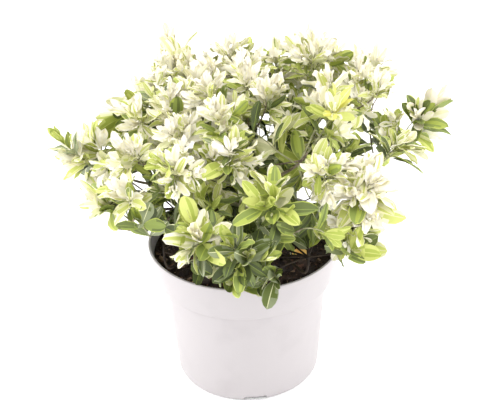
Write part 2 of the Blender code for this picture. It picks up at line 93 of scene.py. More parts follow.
# The points of each rounded edge, as offsets outward and upward from its sharp corner
LIP_UNDERSIDE = ((0.0, 0.0), (-LIP_STEP / 2, -0.0003), (-LIP_STEP, -0.0006))
COLLAR_EDGE = ((0.0001, 0.0014), (-0.0002, 0.0006), (-0.0008, 0.0001), (-0.0014, 0.0))
BODY_EDGE = ((0.0010, 0.0), (0.0003, -0.0004), (0.0, -0.0014))
LIP_INSIDE = ((0.0, -0.0008), (0.0003, -0.0002))
WELD = 0.000005
# The part of the broad noise over which the roughness changes
PATCH_RANGE = (0.3, 0.7)
WORN_PLASTIC = (0.385, 0.357, 0.367)
WHITE_PLASTIC = (0.416, 0.389, 0.398)


def new_group(name, inputs, outputs):
    """A shader node group with named sockets, and the nodes that stand for them in it."""
    group = bpy.data.node_groups.new(name, "ShaderNodeTree")
    add_socket = group.interface.new_socket
    for label, value in inputs.items():
        socket = add_socket(name=label, in_out="INPUT", socket_type="NodeSocketFloat")
        socket.default_value = value
    for label in outputs:
        add_socket(name=label, in_out="OUTPUT", socket_type="NodeSocketFloat")
    return group, group.nodes.new("NodeGroupInput"), group.nodes.new("NodeGroupOutput")


def new_node(tree, kind, values, group=None):
    """A node in the tree, with the inputs that values names. A group's node gets its group."""
    node = tree.nodes.new(kind)
    if group:
        node.node_tree = group
    for label, value in values.items():
        node.inputs[label].default_value = value
    return node


def grain_group():
    """Grain: a fine and a broad noise over the surface, as a height and as a mask."""
    scales = {"Fine Scale": 900.0, "Broad Scale": 30.0}
    group, given, made = new_group("Grain", scales, ("Height", "Patches"))
    places = group.nodes.new("ShaderNodeTexCoord")
    link = group.links.new
    for scale, detail, result in zip(scales, (4.0, 3.0), ("Height", "Patches")):
        texture = new_node(group, "ShaderNodeTexNoise", {"Detail": detail})
        link(places.outputs["Object"], texture.inputs["Vector"])
        link(given.outputs[scale], texture.inputs["Scale"])
        link(texture.outputs["Fac"], made.inputs[result])
    return group


GRAIN = grain_group()


def new_material(name, specular):
    """A material with its Principled shader, which all its parts are linked to."""
    material = bpy.data.materials.new(name)
    material.use_nodes = True
    shader = material.node_tree.nodes["Principled BSDF"]
    shader.inputs["Specular IOR Level"].default_value = specular
    return material, shader


def add_grain(material, shader, scales, roughness, relief):
    """Roughness by the grain's patches and a bump of its height. Returns grain and bump."""
    tree, link = material.node_tree, material.node_tree.links.new
    values = dict(zip(("Fine Scale", "Broad Scale"), scales))
    grain = new_node(tree, "ShaderNodeGroup", values, GRAIN)
    labels = ("From Min", "From Max", "To Min", "To Max")
    limits = dict(zip(labels, PATCH_RANGE + roughness))
    rough = new_node(tree, "ShaderNodeMapRange", limits)
    link(grain.outputs["Patches"], rough.inputs["Value"])
    link(rough.outputs["Result"], shader.inputs["Roughness"])
    bump = new_node(tree, "ShaderNodeBump", {"Strength": 1.0, "Distance": relief})
    link(grain.outputs["Height"], bump.inputs["Height"])
    link(bump.outputs["Normal"], shader.inputs["Normal"])
    return grain, bump


def grained_material(
    name, specular, scales, roughness, relief, tones, mask="Patches", ends=(0.35, 0.65)
):
    """A grained material whose base colour runs from one tone to the other by the mask."""
    material, shader = new_material(name, specular)
    grain, _ = add_grain(material, shader, scales, roughness, relief)
    ramp = material.node_tree.nodes.new("ShaderNodeValToRGB")
    for stop, end, tone in zip(ramp.color_ramp.elements, ends, tones):
        stop.position = end
        stop.color = (*tone, 1.0)
    material.node_tree.links.new(grain.outputs[mask], ramp.inputs["Fac"])
    material.node_tree.links.new(ramp.outputs["Color"], shader.inputs["Base Color"])
    return material


def new_piece(name, points, faces, materials, slots=None, smooth=True):
    """A mesh object of the piece's points and faces, each face with the slot of its material."""
    mesh = bpy.data.meshes.new(name)
    mesh.from_pydata(points, [], faces)
    for material in materials:
        mesh.materials.append(material)
    if slots is not None:
        mesh.polygons.foreach_set("material_index", np.asarray(slots, dtype=np.int32))
    mesh.polygons.foreach_set("use_smooth", [smooth] * len(mesh.polygons))
    mesh.update()
    piece = bpy.data.objects.new(name, mesh)
    bpy.context.scene.collection.objects.link(piece)
    return piece


def circle(radius, sides):
    """Points evenly round +Z, each its x and y."""
    angles = [2 * math.pi * k / sides for k in range(sides)]
    return [(radius * math.cos(angle), radius * math.sin(angle)) for angle in angles]


def turned_piece(name, profile, sides, materials):
    """A closed profile of (radius, height) points turned round +Z."""
    form = bmesh.new()
    rings = []
    for radius, height in profile:
        if radius:
            rings.append([form.verts.new((x, y, height)) for x, y in circle(radius, sides)])
        else:
            rings.append([form.verts.new((0.0, 0.0, height))] * sides)
    for first, second in zip(rings, rings[1:]):
        for k in range(sides):
            corners = list(dict.fromkeys([first[k], first[k - 1], second[k - 1], second[k]]))
            if len(corners) > 2:
                form.faces.new(corners)
    bmesh.ops.remove_doubles(form, verts=form.verts, dist=WELD)
    bmesh.ops.recalc_face_normals(form, faces=form.faces)
    piece = new_piece(name, [], [], materials)
    form.to_mesh(piece.data)
    form.free()
    return piece


def rounded(radius, height, offsets):
    """The points of a rounded edge, about the sharp corner at a radius and height."""
    return [(radius + out, height + up) for out, up in offsets]


def pot_profile():
    """From the top of the lip down the outer side, under the foot and up the inner side."""
    lip = [
        (
            RIM_RADIUS - LIP_STEP * LIP_BEAD[0] * (1 - math.sin(angle)),
            POT_HEIGHT - LIP_HEIGHT * LIP_BEAD[1] * (1 - math.cos(angle)),
        )
        for angle in map(math.radians, (0, 25, 50, 75, 90))
    ]
    outer = rounded(RIM_RADIUS, POT_HEIGHT - LIP_HEIGHT, LIP_UNDERSIDE)
    outer += rounded(COLLAR_FOOT_RADIUS, COLLAR_FOOT, COLLAR_EDGE)
    outer += rounded(BODY_TOP_RADIUS, COLLAR_FOOT, BODY_EDGE)
    foot = [
        (
            BODY_FOOT_RADIUS - FOOT_ROUNDING * (1 - math.cos(angle)),
            FOOT_ROUNDING * (1 - math.sin(angle)),
        )
        for angle in map(math.radians, range(0, 91, 18))
    ]
    under = [
        (BODY_FOOT_RADIUS - FOOT_WIDTH, 0.0),
        (BODY_FOOT_RADIUS - FOOT_WIDTH - FOOT_DRAFT, FOOT_HEIGHT),
        (PAD_RADIUS + FOOT_DRAFT, FOOT_HEIGHT),
        (PAD_RADIUS, 0.0),
        (0.0, 0.0),
    ]
    inner = [
        (0.0, FLOOR_TOP),
        (BODY_FOOT_RADIUS - WALL - FLOOR_ROUNDING, FLOOR_TOP),
        (BODY_FOOT_RADIUS - WALL, FLOOR_TOP + FLOOR_ROUNDING),
        (BODY_TOP_RADIUS - WALL, BODY_INSIDE_TOP),
        (COLLAR_FOOT_RADIUS - WALL, COLLAR_FOOT + COLLAR_STEP),
    ]
    inner += rounded(RIM_RADIUS - LIP_STEP - WALL, POT_HEIGHT, LIP_INSIDE)
    return lip + outer + foot + under + inner + lip[:1]


def cut_out(piece, name, form, place, turn=0.0, size=(1.0, 1.0, 1.0)):
    """Has the form, set in its place, cut out of the piece. Returns the form's object."""
    cutter = bpy.data.objects.new(name, bpy.data.meshes.new(name))
    form.to_mesh(cutter.data)
    form.free()
    cutter.scale = size
    cutter.rotation_euler = (0.0, 0.0, turn)
    cutter.location = place
    bpy.context.scene.collection.objects.link(cutter)
    boolean = piece.modifiers.new(name, "BOOLEAN")
    boolean.operation = "DIFFERENCE"
    boolean.solver = "EXACT"
    boolean.object = cutter
    return cutter


def cut_foot_and_drains(pot):
    """Notches through the foot ring and drain holes through the floor, then made one mesh."""
    notch_size = (FOOT_WIDTH * 4, NOTCH_WIDTH, NOTCH_HEIGHT * 2)
    cutters = []
    for k in range(NOTCH_COUNT):
        bearing = -math.pi / 2 + NOTCH_TURN + k * 2 * math.pi / NOTCH_COUNT
        out = Vector((math.cos(bearing), math.sin(bearing), 0.0))
        wedge = bmesh.new()
        bmesh.ops.create_cube(wedge, size=1.0)
        for corner in wedge.verts:
            corner.co.y *= 1 - (1 - NOTCH_TOP_WIDTH / NOTCH_WIDTH) * 2 * corner.co.z
        place = out * (BODY_FOOT_RADIUS - FOOT_WIDTH / 2)
        cutters.append(cut_out(pot, f"notch_{k + 1}", wedge, place, bearing, notch_size))
        hole = bmesh.new()
        bmesh.ops.create_cone(
            hole, cap_ends=True, segments=DRAIN_SIDES, radius1=DRAIN_RADIUS,
            radius2=DRAIN_RADIUS, depth=FLOOR_THICKNESS * 4,
        )
        place = out * DRAIN_RING_RADIUS + Vector((0, 0, FOOT_HEIGHT))
        cutters.append(cut_out(pot, f"drain_{k + 1}", hole, place))
    graph = bpy.context.evaluated_depsgraph_get()
    mesh = bpy.data.meshes.new_from_object(pot.evaluated_get(graph))
    pot.modifiers.clear()
    pot.data = mesh
    for cutter in cutters:
        bpy.data.objects.remove(cutter)


plastic = grained_material(
    "satin_white_plastic", specular=0.5, scales=(1400.0, 26.0), roughness=(0.36, 0.50),
    relief=0.00006, tones=(WORN_PLASTIC, WHITE_PLASTIC), ends=(0.22, 0.46),
)
pot = turned_piece("nursery_pot", pot_profile(), POT_SIDES, [plastic])
cut_foot_and_drains(pot)
pot.data.polygons.foreach_set("use_smooth", [True] * len(pot.data.polygons))
pot.data.set_sharp_from_angle(angle=POT_CREASE)
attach(pot, "root")
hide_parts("pot")

# Potting soil: a dark mix of composted bark and peat that fills the pot to about a centimetre
# below the lip. It is a crumbly mound, strewn with loose splinters and chips of bark that are
# 1 to 11 mm long.
GAP = 0.0003
SOIL_DROP = 0.009
SOIL_MOUND = 0.003
SOIL_SETTLING = 0.0016
SOIL_TOP = POT_HEIGHT - SOIL_DROP
SOIL_RINGS = 34
SOIL_SIDES = 120
SOIL_ROUGHNESS = 0.0022
# Lumps of two sizes: how fine they are, their share of the roughness and their layer of noise
SOIL_LUMPS = ((60, 0.6, 3.0), (210, 0.4, 7.0))
SOIL_TONES = ((0.012, 0.008, 0.006), (0.058, 0.034, 0.024))
CHIP_SIZES = ((150, 0.0050, 0.0110), (650, 0.0022, 0.0050), (1700, 0.0009, 0.0020))
CHIP_WIDTHS = (0.22, 0.42)
CHIP_THICKNESSES = (0.10, 0.22)
CHIP_KNOCKS = (-0.38, 0.18)
CHIP_TILTS = (0.35, 0.3)
CHIP_MARGIN = 0.0012
CHIP_LIFT = 0.10
CHIP_SEED = 29
CHIP_FACES = ((0, 3, 2, 1), (4, 5, 6, 7), (0, 1, 5, 4), (1, 2, 6, 5), (2, 3, 7, 6), (3, 0, 4, 7))
CHIP_TONES = {
    "damp_bark_chip": (0.020, 0.012, 0.009),
    "dark_bark_chip": (0.042, 0.025, 0.017),
    "red_bark_chip": (0.105, 0.050, 0.030),
    "dry_bark_chip": (0.210, 0.140, 0.090),
}
CHIP_SHARES = (0.46, 0.30, 0.17, 0.07)
CHIP_CONTRAST = (0.62, 1.35)
PALE_CHIP = (-0.0795, -0.0185)
PALE_CHIP_SIZE = 0.0100
PALE_CHIP_LIFT = 0.0015
PALE_CHIP_SEED = 3


def soil_height(x, y):
    """The crumbly surface of the mix: a low mound with lumps of two sizes."""
    off_middle = math.hypot(x, y) / RIM_RADIUS
    lumps = sum(
        noise.noise(Vector((x * scale, y * scale, layer))) * share
        for scale, share, layer in SOIL_LUMPS
    )
    top = SOIL_TOP - SOIL_SETTLING - SOIL_MOUND * off_middle * off_middle
    return top + lumps * SOIL_ROUGHNESS


def collar_inside(height):
    """Radius of the wall's inner side within the collar."""
    low = COLLAR_FOOT + COLLAR_STEP
    share = (height - low) / (POT_HEIGHT - low)
    return COLLAR_FOOT_RADIUS - WALL + (RIM_RADIUS - LIP_STEP - COLLAR_FOOT_RADIUS) * share


def soil_mesh():
    """The root ball: its rough top, and smooth sides and foot where it lies in the pot."""
    edge = collar_inside(SOIL_TOP - SOIL_MOUND) - GAP
    points = [(0.0, 0.0, soil_height(0.0, 0.0))]
    for ring in range(1, SOIL_RINGS + 1):
        places = circle(edge * ring / SOIL_RINGS, SOIL_SIDES)
        points += [(x, y, soil_height(x, y)) for x, y in places]
    lower = (
        (COLLAR_FOOT_RADIUS - WALL - GAP, COLLAR_FOOT + COLLAR_STEP + GAP),
        (BODY_TOP_RADIUS - WALL - GAP, BODY_INSIDE_TOP + GAP),
        (BODY_FOOT_RADIUS - WALL - GAP, FLOOR_TOP + FLOOR_ROUNDING),
        (BODY_FOOT_RADIUS - WALL - FLOOR_ROUNDING - GAP, FLOOR_TOP + GAP),
    )
    for radius, height in lower:
        points += [(x, y, height) for x, y in circle(radius, SOIL_SIDES)]
    points.append((0.0, 0.0, FLOOR_TOP + GAP))
    rings = SOIL_RINGS + len(lower)
    faces = [(0, 1 + k, 1 + (k + 1) % SOIL_SIDES) for k in range(SOIL_SIDES)]
    for ring in range(rings - 1):
        first, second = 1 + ring * SOIL_SIDES, 1 + (ring + 1) * SOIL_SIDES
        for k in range(SOIL_SIDES):
            after = (k + 1) % SOIL_SIDES
            faces.append((first + k, second + k, second + after, first + after))
    last, foot = 1 + (rings - 1) * SOIL_SIDES, len(points) - 1
    faces += [(last + (k + 1) % SOIL_SIDES, last + k, foot) for k in range(SOIL_SIDES)]
    return points, faces


def chip_form(place, size, dice):
    """A splintered flake: a box with every corner knocked about, longer than it is wide."""
    width, thickness = dice.uniform(*CHIP_WIDTHS), dice.uniform(*CHIP_THICKNESSES)
    half = Vector((size / 2, size * width, size * thickness))
    corners = []
    for z in (-1, 1):
        for x, y in ((-1, -1), (1, -1), (1, 1), (-1, 1)):
            knocks = [1 + dice.uniform(*CHIP_KNOCKS) for _ in range(3)]
            corners.append(
                Vector((x * half.x * knocks[0], y * half.y * knocks[1], z * half.z * knocks[2]))
            )
    turn = Matrix.Rotation(dice.uniform(0, 2 * math.pi), 3, "Z")
    tilt = Matrix.Rotation(dice.gauss(0, CHIP_TILTS[0]), 3, "X")
    tilt @= Matrix.Rotation(dice.gauss(0, CHIP_TILTS[1]), 3, "Y")
    turn @= tilt
    return [place + turn @ corner for corner in corners], CHIP_FACES


def strewn_chips():
    """All the chips, each its points and faces, and each chip's tone."""
    dice = random.Random(CHIP_SEED)
    forms, tones = [], []
    for count, smallest, largest in CHIP_SIZES:
        for _ in range(count):
            size = dice.uniform(smallest, largest)
            radius = (collar_inside(SOIL_TOP) - CHIP_MARGIN - size / 2) * math.sqrt(dice.random())
            bearing = dice.uniform(0, 2 * math.pi)
            x, y = radius * math.cos(bearing), radius * math.sin(bearing)
            place = Vector((x, y, soil_height(x, y) + size * CHIP_LIFT))
            forms.append(chip_form(place, size, dice))
            tones += dice.choices(range(len(CHIP_TONES)), CHIP_SHARES)
    place = Vector((*PALE_CHIP, soil_height(*PALE_CHIP) + PALE_CHIP_LIFT))
    forms.append(chip_form(place, PALE_CHIP_SIZE, random.Random(PALE_CHIP_SEED)))
    tones.append(len(CHIP_TONES) - 1)
    return forms, tones


def joined(name, forms, materials, slots, smooth=True):
    """Forms, each its points and faces, as one piece. slots gives each form's material."""
    points, faces, face_slots = [], [], []
    for (form_points, form_faces), slot in zip(forms, slots):
        first = len(points)
        points += form_points
        faces += [tuple(first + k for k in face) for face in form_faces]
        face_slots += [slot] * len(form_faces)
    return new_piece(name, points, faces, materials, face_slots, smooth)


peat = grained_material(
    "damp_potting_mix", specular=0.25, scales=(1500.0, 240.0), roughness=(0.78, 0.98),
    relief=0.0009, tones=SOIL_TONES,
)
soil = new_piece("potting_mix", *soil_mesh(), [peat])
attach(soil, "root")
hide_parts("potting_soil")

chip_materials = [
    grained_material(
        name, specular=0.3, scales=(1100.0, 300.0), roughness=(0.62, 0.92), relief=0.0005,
        tones=[[part * share for part in tone] for share in CHIP_CONTRAST], mask="Height",
    )
    for name, tone in CHIP_TONES.items()
]
chip_forms, chip_tones = strewn_chips()
chips = joined("bark_chips", chip_forms, chip_materials, chip_tones, smooth=False)
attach(chips, "root")

# Main stem and boughs: the shrub's short woody stem, which flares at the soil, and the boughs
# that leave it in rings. The bark is thin, grey-brown and finely cracked, with swollen leaf
# scars. The lowest boughs, and the leaders and twigs of the low masses, are given a near-black
# bark as painted shade for the shade that falls under the crown.
STEM_HEIGHT = 0.088
STEM_LEAN = Vector((0.006, 0.004, 0.0))
STEM_FLARE_RADIUS = 0.0085
STEM_FLARE_FADE = 16
STEM_FOOT_RADIUS = 0.0052
STEM_TIP_RADIUS = 0.0019
STEM_SWELLING = 0.05
BOUGH_RADII = (0.0023, 0.0013)
BOUGH_SHARE = 0.84
BOUGH_SPREAD = 0.55
BOUGH_SLACK = 0.45
BOUGH_RISE = math.radians(34)
BOUGH_FITTINGS = 3
BOUGH_SLOPE_AT = 0.25
BOUGH_ROOTING = (0.35, 0.7)
LOW_REACH = 0.100
FRONT_OVERHANG = 0.026
SHOULDER_REACH = 0.226
TOP_REACH = 0.206
RIGHT_LEAN = 0.07
SHOULDER_RISE = math.radians(38)
CROWN_FOOT = Vector((0.0, 0.0, SOIL_TOP))
# Each ring: name, count, rise, first bearing, share of the reach, and height on the stem
MASS_RINGS = (
    ("top_foliage", 1, 90, 0, 0.70, 0.0),
    ("upper_foliage", 5, 57, 18, 0.70, 0.055),
    ("side_foliage", 7, 30, -90, 0.70, 0.026),
    ("low_foliage", 5, 14, -64, 0.82, 0.007),
)
BEARING_JITTER = 5.0
HEIGHT_STEP = 0.0034
SEED = 11
LIMB_STEP = 0.0016
LIMB_SIDES = 14
SCAR_SPACING = 0.010
SCAR_SWELLING = 0.10
SCAR_SHARPNESS = 9
BARK_RELIEF = 0.11
BARK_CRACKS = (900, 900, 380)
BARK_GRAIN = (1600.0, 190.0)
BARK_TONES = ((0.105, 0.080, 0.058), (0.300, 0.245, 0.185))
# Near-black bark of the lowest boughs and low twigs: painted shade under the crown
PAINTED_SHADE_BARK_TONES = ((0.014, 0.010, 0.007), (0.040, 0.029, 0.021))


def stem_point(height):
    """The middle of the main stem at a height above the soil."""
    share = height / STEM_HEIGHT
    return CROWN_FOOT + STEM_LEAN * share * share + Vector((0.0, 0.0, height))


def stem_radius(height):
    """The stem's taper, with the flare of its root collar."""
    share = height / STEM_HEIGHT
    taper = STEM_FOOT_RADIUS + (STEM_TIP_RADIUS - STEM_FOOT_RADIUS) * share
    return taper + (STEM_FLARE_RADIUS - STEM_FOOT_RADIUS) * math.exp(-share * STEM_FLARE_FADE)


def tapering(foot, tip):
    """The radius of an even limb, by the share of its length."""
    return lambda share: foot + (tip - foot) * share


def direction(bearing, rise):
    """The unit vector at a bearing from +X and a rise above the level."""
    level = math.cos(rise)
    return Vector((math.cos(bearing) * level, math.sin(bearing) * level, math.sin(rise)))


def eased(share):
    """A share from 0 to 1 that starts and ends gently."""
    share = min(max(share, 0.0), 1.0)
    return share * share * (3 - 2 * share)


def reach(bearing, rise):
    """How far the crown reaches from the middle of the soil. Low leaves hang over the front."""
    lean = 1.0 + RIGHT_LEAN * math.cos(bearing) * math.sin(2 * rise)
    if rise < SHOULDER_RISE:
        low = LOW_REACH + FRONT_OVERHANG * max(-math.sin(bearing), 0.0) ** 2
        return lean * (low + (SHOULDER_REACH - low) * eased(rise / SHOULDER_RISE))
    share = (rise - SHOULDER_RISE) / (math.pi / 2 - SHOULDER_RISE)
    return lean * (SHOULDER_REACH + (TOP_REACH - SHOULDER_REACH) * eased(share))


class Mass:
    """One mass of foliage: the middle of its space, its bough and the shoots that it bears."""

    def __init__(self, name, bearing, rise, share, leaves_stem_at):
        self.name = name
        self.bearing = bearing
        self.leaves_stem_at = leaves_stem_at
        self.site = CROWN_FOOT + direction(bearing, rise) * reach(bearing, rise) * share
        self.is_low = name.startswith("low")
        self.shoots = []
        self.twig_lines = []
        self.fine_shoots = []


def plan_masses():
    """Rings of masses round the stem. Boughs of one ring leave it at staggered heights."""
    dice = random.Random(SEED)
    planned = []
    for name, count, rise, first, share, height in MASS_RINGS:
        for k in range(count):
            bearing = first + 360 * k / count + dice.uniform(-1, 1) * BEARING_JITTER
            label = f"{name}_{k + 1}" if count > 1 else name
            way = (math.radians(bearing), math.radians(rise))
            stagger = HEIGHT_STEP * ((k * 3) % count)
            planned.append(Mass(label, *way, share, height + stagger))
    return planned


def bend_point(start, elbow, end, t):
    """A point on the bend from start to end that the elbow draws out."""
    return start * (1 - t) ** 2 + elbow * (2 * t * (1 - t)) + end * t * t


def bough_bend(mass):
    """Where a bough leaves the stem, the elbow that draws its bend, and where it ends."""
    height = mass.leaves_stem_at
    end = CROWN_FOOT + (mass.site - CROWN_FOOT) * BOUGH_SHARE
    tilt = math.sin(BOUGH_RISE)
    for _ in range(BOUGH_FITTINGS):
        seat = stem_radius(height) + GAP + BOUGH_RADII[0] * tilt
        start = stem_point(height) + direction(mass.bearing, 0.0) * seat
        elbow = start + direction(mass.bearing, BOUGH_RISE) * (end - start).length * BOUGH_SPREAD
        elbow = elbow.lerp((start + end) / 2, BOUGH_SLACK)
        tilt = (bend_point(start, elbow, end, BOUGH_SLOPE_AT) - start).normalized().z
    return start, elbow, end


def bough_line(mass):
    """The middle line of a bough, from inside the stem to where its mass begins."""
    start, elbow, end = bough_bend(mass)
    steps = int((end - start).length / LIMB_STEP)
    line = [bend_point(start, elbow, end, k / steps) for k in range(steps + 1)]
    seat = stem_point(mass.leaves_stem_at)
    return [seat.lerp(start, share) for share in BOUGH_ROOTING] + line


def limb_mesh(line, radius_at, sides, relief, scars):
    """A limb swept along a line of points. radius_at gives its radius by the share of it."""
    points, faces = [], []
    ways = [(b - a).normalized() for a, b in zip(line, line[1:])]
    ways.append(ways[-1])
    across = ways[0].orthogonal().normalized()
    run = 0.0
    total = sum((b - a).length for a, b in zip(line, line[1:]))
    for k, (middle, way) in enumerate(zip(line, ways)):
        if k:
            run += (middle - line[k - 1]).length
            across = (across - way * across.dot(way)).normalized()
        beside = way.cross(across)
        size = radius_at(run / total)
        off_scar = (run % SCAR_SPACING) / SCAR_SPACING - 0.5
        size *= 1 + scars * math.exp(-((off_scar * SCAR_SHARPNESS) ** 2))
        for side in range(sides):
            angle = 2 * math.pi * side / sides
            spoke = across * math.cos(angle) + beside * math.sin(angle)
            place = middle + spoke * size
            cracks = noise.noise(Vector([part * fine for part, fine in zip(place, BARK_CRACKS)]))
            points.append(middle + spoke * size * (1 + relief * cracks))
    rings = len(line)
    for ring in range(rings - 1):
        for side in range(sides):
            after = (side + 1) % sides
            first, second = ring * sides, (ring + 1) * sides
            faces.append((first + side, first + after, second + after, second + side))
    faces.append(tuple(range(sides))[::-1])
    faces.append(tuple((rings - 1) * sides + side for side in range(sides)))
    return points, faces


bark = grained_material(
    "grey_brown_bark", specular=0.3, scales=BARK_GRAIN, roughness=(0.66, 0.88), relief=0.0004,
    tones=BARK_TONES,
)
# The dark bark of the low wood is painted shade, standing for the shade under the crown
shade_painted_bark = grained_material(
    "damp_dark_bark", specular=0.08, scales=BARK_GRAIN, roughness=(0.62, 0.86), relief=0.0004,
    tones=PAINTED_SHADE_BARK_TONES,
)
stem_steps = int(STEM_HEIGHT / LIMB_STEP)
stem_line = [stem_point(STEM_HEIGHT * k / stem_steps) for k in range(stem_steps + 1)]
stem = new_piece(
    "stem_bark",
    *limb_mesh(
        stem_line, lambda share: stem_radius(share * STEM_HEIGHT), LIMB_SIDES, BARK_RELIEF,
        STEM_SWELLING,
    ),
    [bark],
)
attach(stem, "root")
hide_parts("main_stem")

masses = plan_masses()
bough_lines = {mass.name: bough_line(mass) for mass in masses if mass.leaves_stem_at}
bough_forms = [
    limb_mesh(line, tapering(*BOUGH_RADII), LIMB_SIDES, BARK_RELIEF, SCAR_SWELLING)
    for line in bough_lines.values()
]
# Boughs of the low masses take the painted-shade bark
bough_slots = [int(mass.is_low) for mass in masses if mass.leaves_stem_at]
boughs = joined("bough_bark", bough_forms, [bark, shade_painted_bark], bough_slots)
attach(boughs, "root")
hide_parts(*["bough_to_" + mass.name for mass in masses if mass.leaves_stem_at])

# Twigs: each bough runs on as a leader, which forks into thin twigs, and these into finer shoots
# of the year. Old wood is grey-brown, and young wood is olive. Low twigs are missing where the
# soil shows at both sides, and a few gaps go deep into the crown.
LEAF_ROOM = 0.038
SHARE_JITTER = 0.05
SHOOT_SIZES = (0.88, 1.08)
WAY_JITTER = math.radians(4)
# Each layer of shoots, from the outermost: count, share of the reach, and lowest rise
SHOOT_LAYERS = ((90, 1.0, 2), (50, 0.74, 8), (16, 0.50, 24))
SHOOT_LIFT = (0.30, 0.55)
LOWEST_TIP = 0.020
# Shoots that lead: bearing, rise, share of the reach, growth past it, size and kind of whorl
LEADING_SHOOTS = (
    (120, 50, 1.09, 0.010, 1.05, "plume"), (56, 54, 1.02, 0.0, 1.0, "pale"),
    (42, 42, 1.00, 0.0, 1.0, "pale"), (8, 34, 1.04, 0.004, 1.20, "blushed"),
    (180, 34, 1.13, -0.008, 0.95, "tipped"), (-52, 30, 0.98, 0.0, 0.85, "pale"),
)
GOLDEN_ANGLE = math.radians(137.5)
LEADER_LENGTH = 0.034
LOW_LEADER_LENGTH = 0.030
LOW_LEADER_RISE = math.radians(68)
LEADER_STEPS = 8
LEADER_RADII = (0.0013, 0.0010)
LEADER_SWELLING = 0.06
TWIG_RADII = (0.0009, 0.0006)
TWIG_SIDES = 6
TWIG_STEPS = 12
TWIG_RELIEF = 0.05
TWIG_SWELLING = 0.08
TWIG_BEND = 0.35
TWIG_ARCH = 0.012
TWIG_ARCH_SHARE = 0.22
FINE_RADII = (0.0006, 0.0005)
FINE_SIDES = 5
FINE_STEPS = 4
FINE_SIZES = (0.74, 1.0)
FINE_ROOM = 0.021
FINE_LIFT = 0.28
FORKS = (0.30, 0.96)
LOW_FORKS = (0.84, 1.0)
OVERREACH = 1.02
LOWEST_FINE_TIP = 0.012
TIP_MARGIN = math.radians(2.5)
TIP_GROWTH = 0.009
LEADING_GROWTH = 0.016
# By the layer of the shoot, with -1 for the leading ones: forks at its tip, and their layer
TIP_FORKS = {-1: 2, 0: 3, 1: 3, 2: 1}
TIP_FORK_LAYERS = {-1: 1, 0: 1, 1: 2, 2: 2}
TIP_FORKS_AT = (0.80, 0.93)
TIP_FORK_LENGTHS = (0.012, 0.024)
TIP_FORK_TILTS = (math.radians(40), math.radians(66))
TIP_FORK_TURNS = (-0.6, 0.6)
SIDE_FORK_LAYER = 3
SIDE_FORKS_AT = (0.44, 0.66)
SIDE_FORK_SHIFTS = (-0.08, 0.08)
SIDE_FORK_LENGTHS = (0.010, 0.022)
SIDE_FORK_TILTS = (math.radians(34), math.radians(62))
OLD_SHARE = 0.5
LOW_RISE = math.radians(30)
TWIG_GRAIN = (1800.0, 260.0)
OLD_WOOD_TONES = ((0.120, 0.092, 0.066), (0.290, 0.240, 0.180))
YOUNG_WOOD_TONES = ((0.215, 0.215, 0.105), (0.400, 0.400, 0.230))
# The slots of the woods in a mass of twigs: old, young, and the near-black painted-shade bark of
# low wood
OLD, YOUNG, SHADED_WOOD = range(3)
# How high the crown's underside rises, by bearing
SKIRT_RISES = (
    (-180, 24), (-152, 26), (-135, 27), (-122, 32), (-112, 31), (-109, 22), (-100, 15), (-97, 11),
    (-79, 11), (-76, 31), (-68, 31), (-65, 20), (-52, 20), (-44, 26), (-20, 27), (15, 25),
    (45, 18), (90, 14), (150, 17), (180, 24),
)
# Gaps between the sprays where no shoot ends: bearing, rise and width
OPEN_GAPS = (
    (-78, 60, 7), (-22, 57, 7), (-71, 41, 6), (-123, 42, 7), (150, 50, 8), (70, 45, 7),
    (-112, 38, 5), (-166, 44, 5), (-37, 34, 7), (-24, 31, 8),
    (-6, 30, 8), (12, 46, 6), (-20, 44, 4), (-176, 50, 5),
)
# Sides where the crown is thin: bearing, rise, width and the share of the shoots that is missing
THIN_SIDES = ((-168, 32, 26, 0.30), (170, 34, 26, 0.30), (-5, 30, 24, 0.34))
BARE_SIDE = (math.radians(-79), math.radians(25))
BARE_REACH = 0.118
BARE_HEIGHT = 0.046
VIEW_TARGET = Vector((0.0064, 0.0, 0.188))
VIEW_DISTANCE = 1.0
VIEW_RISE = math.radians(29.1)
VIEW_ROLL = math.radians(-1.7)
VIEW_LENS = 74.66
SENSOR_WIDTH = 36.0
PICTURE_SIZE = (500, 400)
PIXEL_WIDTH = SENSOR_WIDTH / VIEW_LENS / PICTURE_SIZE[0]
# Where the picture shows sky, and where bare soil, through the crown: column, row and radius in
# pixels
SKY_GAPS = (
    (266, 117, 3), (261, 133, 3), (271, 129, 3), (305, 194, 6), (140, 184, 6), (168, 206, 4),
    (377, 104, 4), (323, 124, 3), (392, 104, 6), (405, 124, 5), (395, 172, 8),
)
SOIL_WINDOWS = (
    (157, 240, 4), (158, 250, 5), (164, 262, 6), (173, 270, 4), (278, 263, 4), (288, 264, 5),
    (300, 259, 6), (312, 254, 5), (320, 247, 4), (290, 273, 3),
)


class Shoot:
    """A twig's end: where its whorl of leaves sits, which way it points and how large it is."""

    def __init__(self, tip, axis, scale, rise, layer, kind):
        self.tip = tip
        self.axis = axis
        self.scale = scale
        self.rise = rise
        self.layer = layer
        self.kind = kind


def spread_directions(count, lowest, dice):
    """Directions spread evenly over the crown by the golden angle, each a little astray."""
    low = math.sin(lowest)
    for k in range(count):
        height = low + (1 - low) * (k + 0.5) / count
        rise = math.asin(height) + dice.uniform(-1, 1) * WAY_JITTER
        yield k * GOLDEN_ANGLE + dice.uniform(-1, 1) * WAY_JITTER, rise


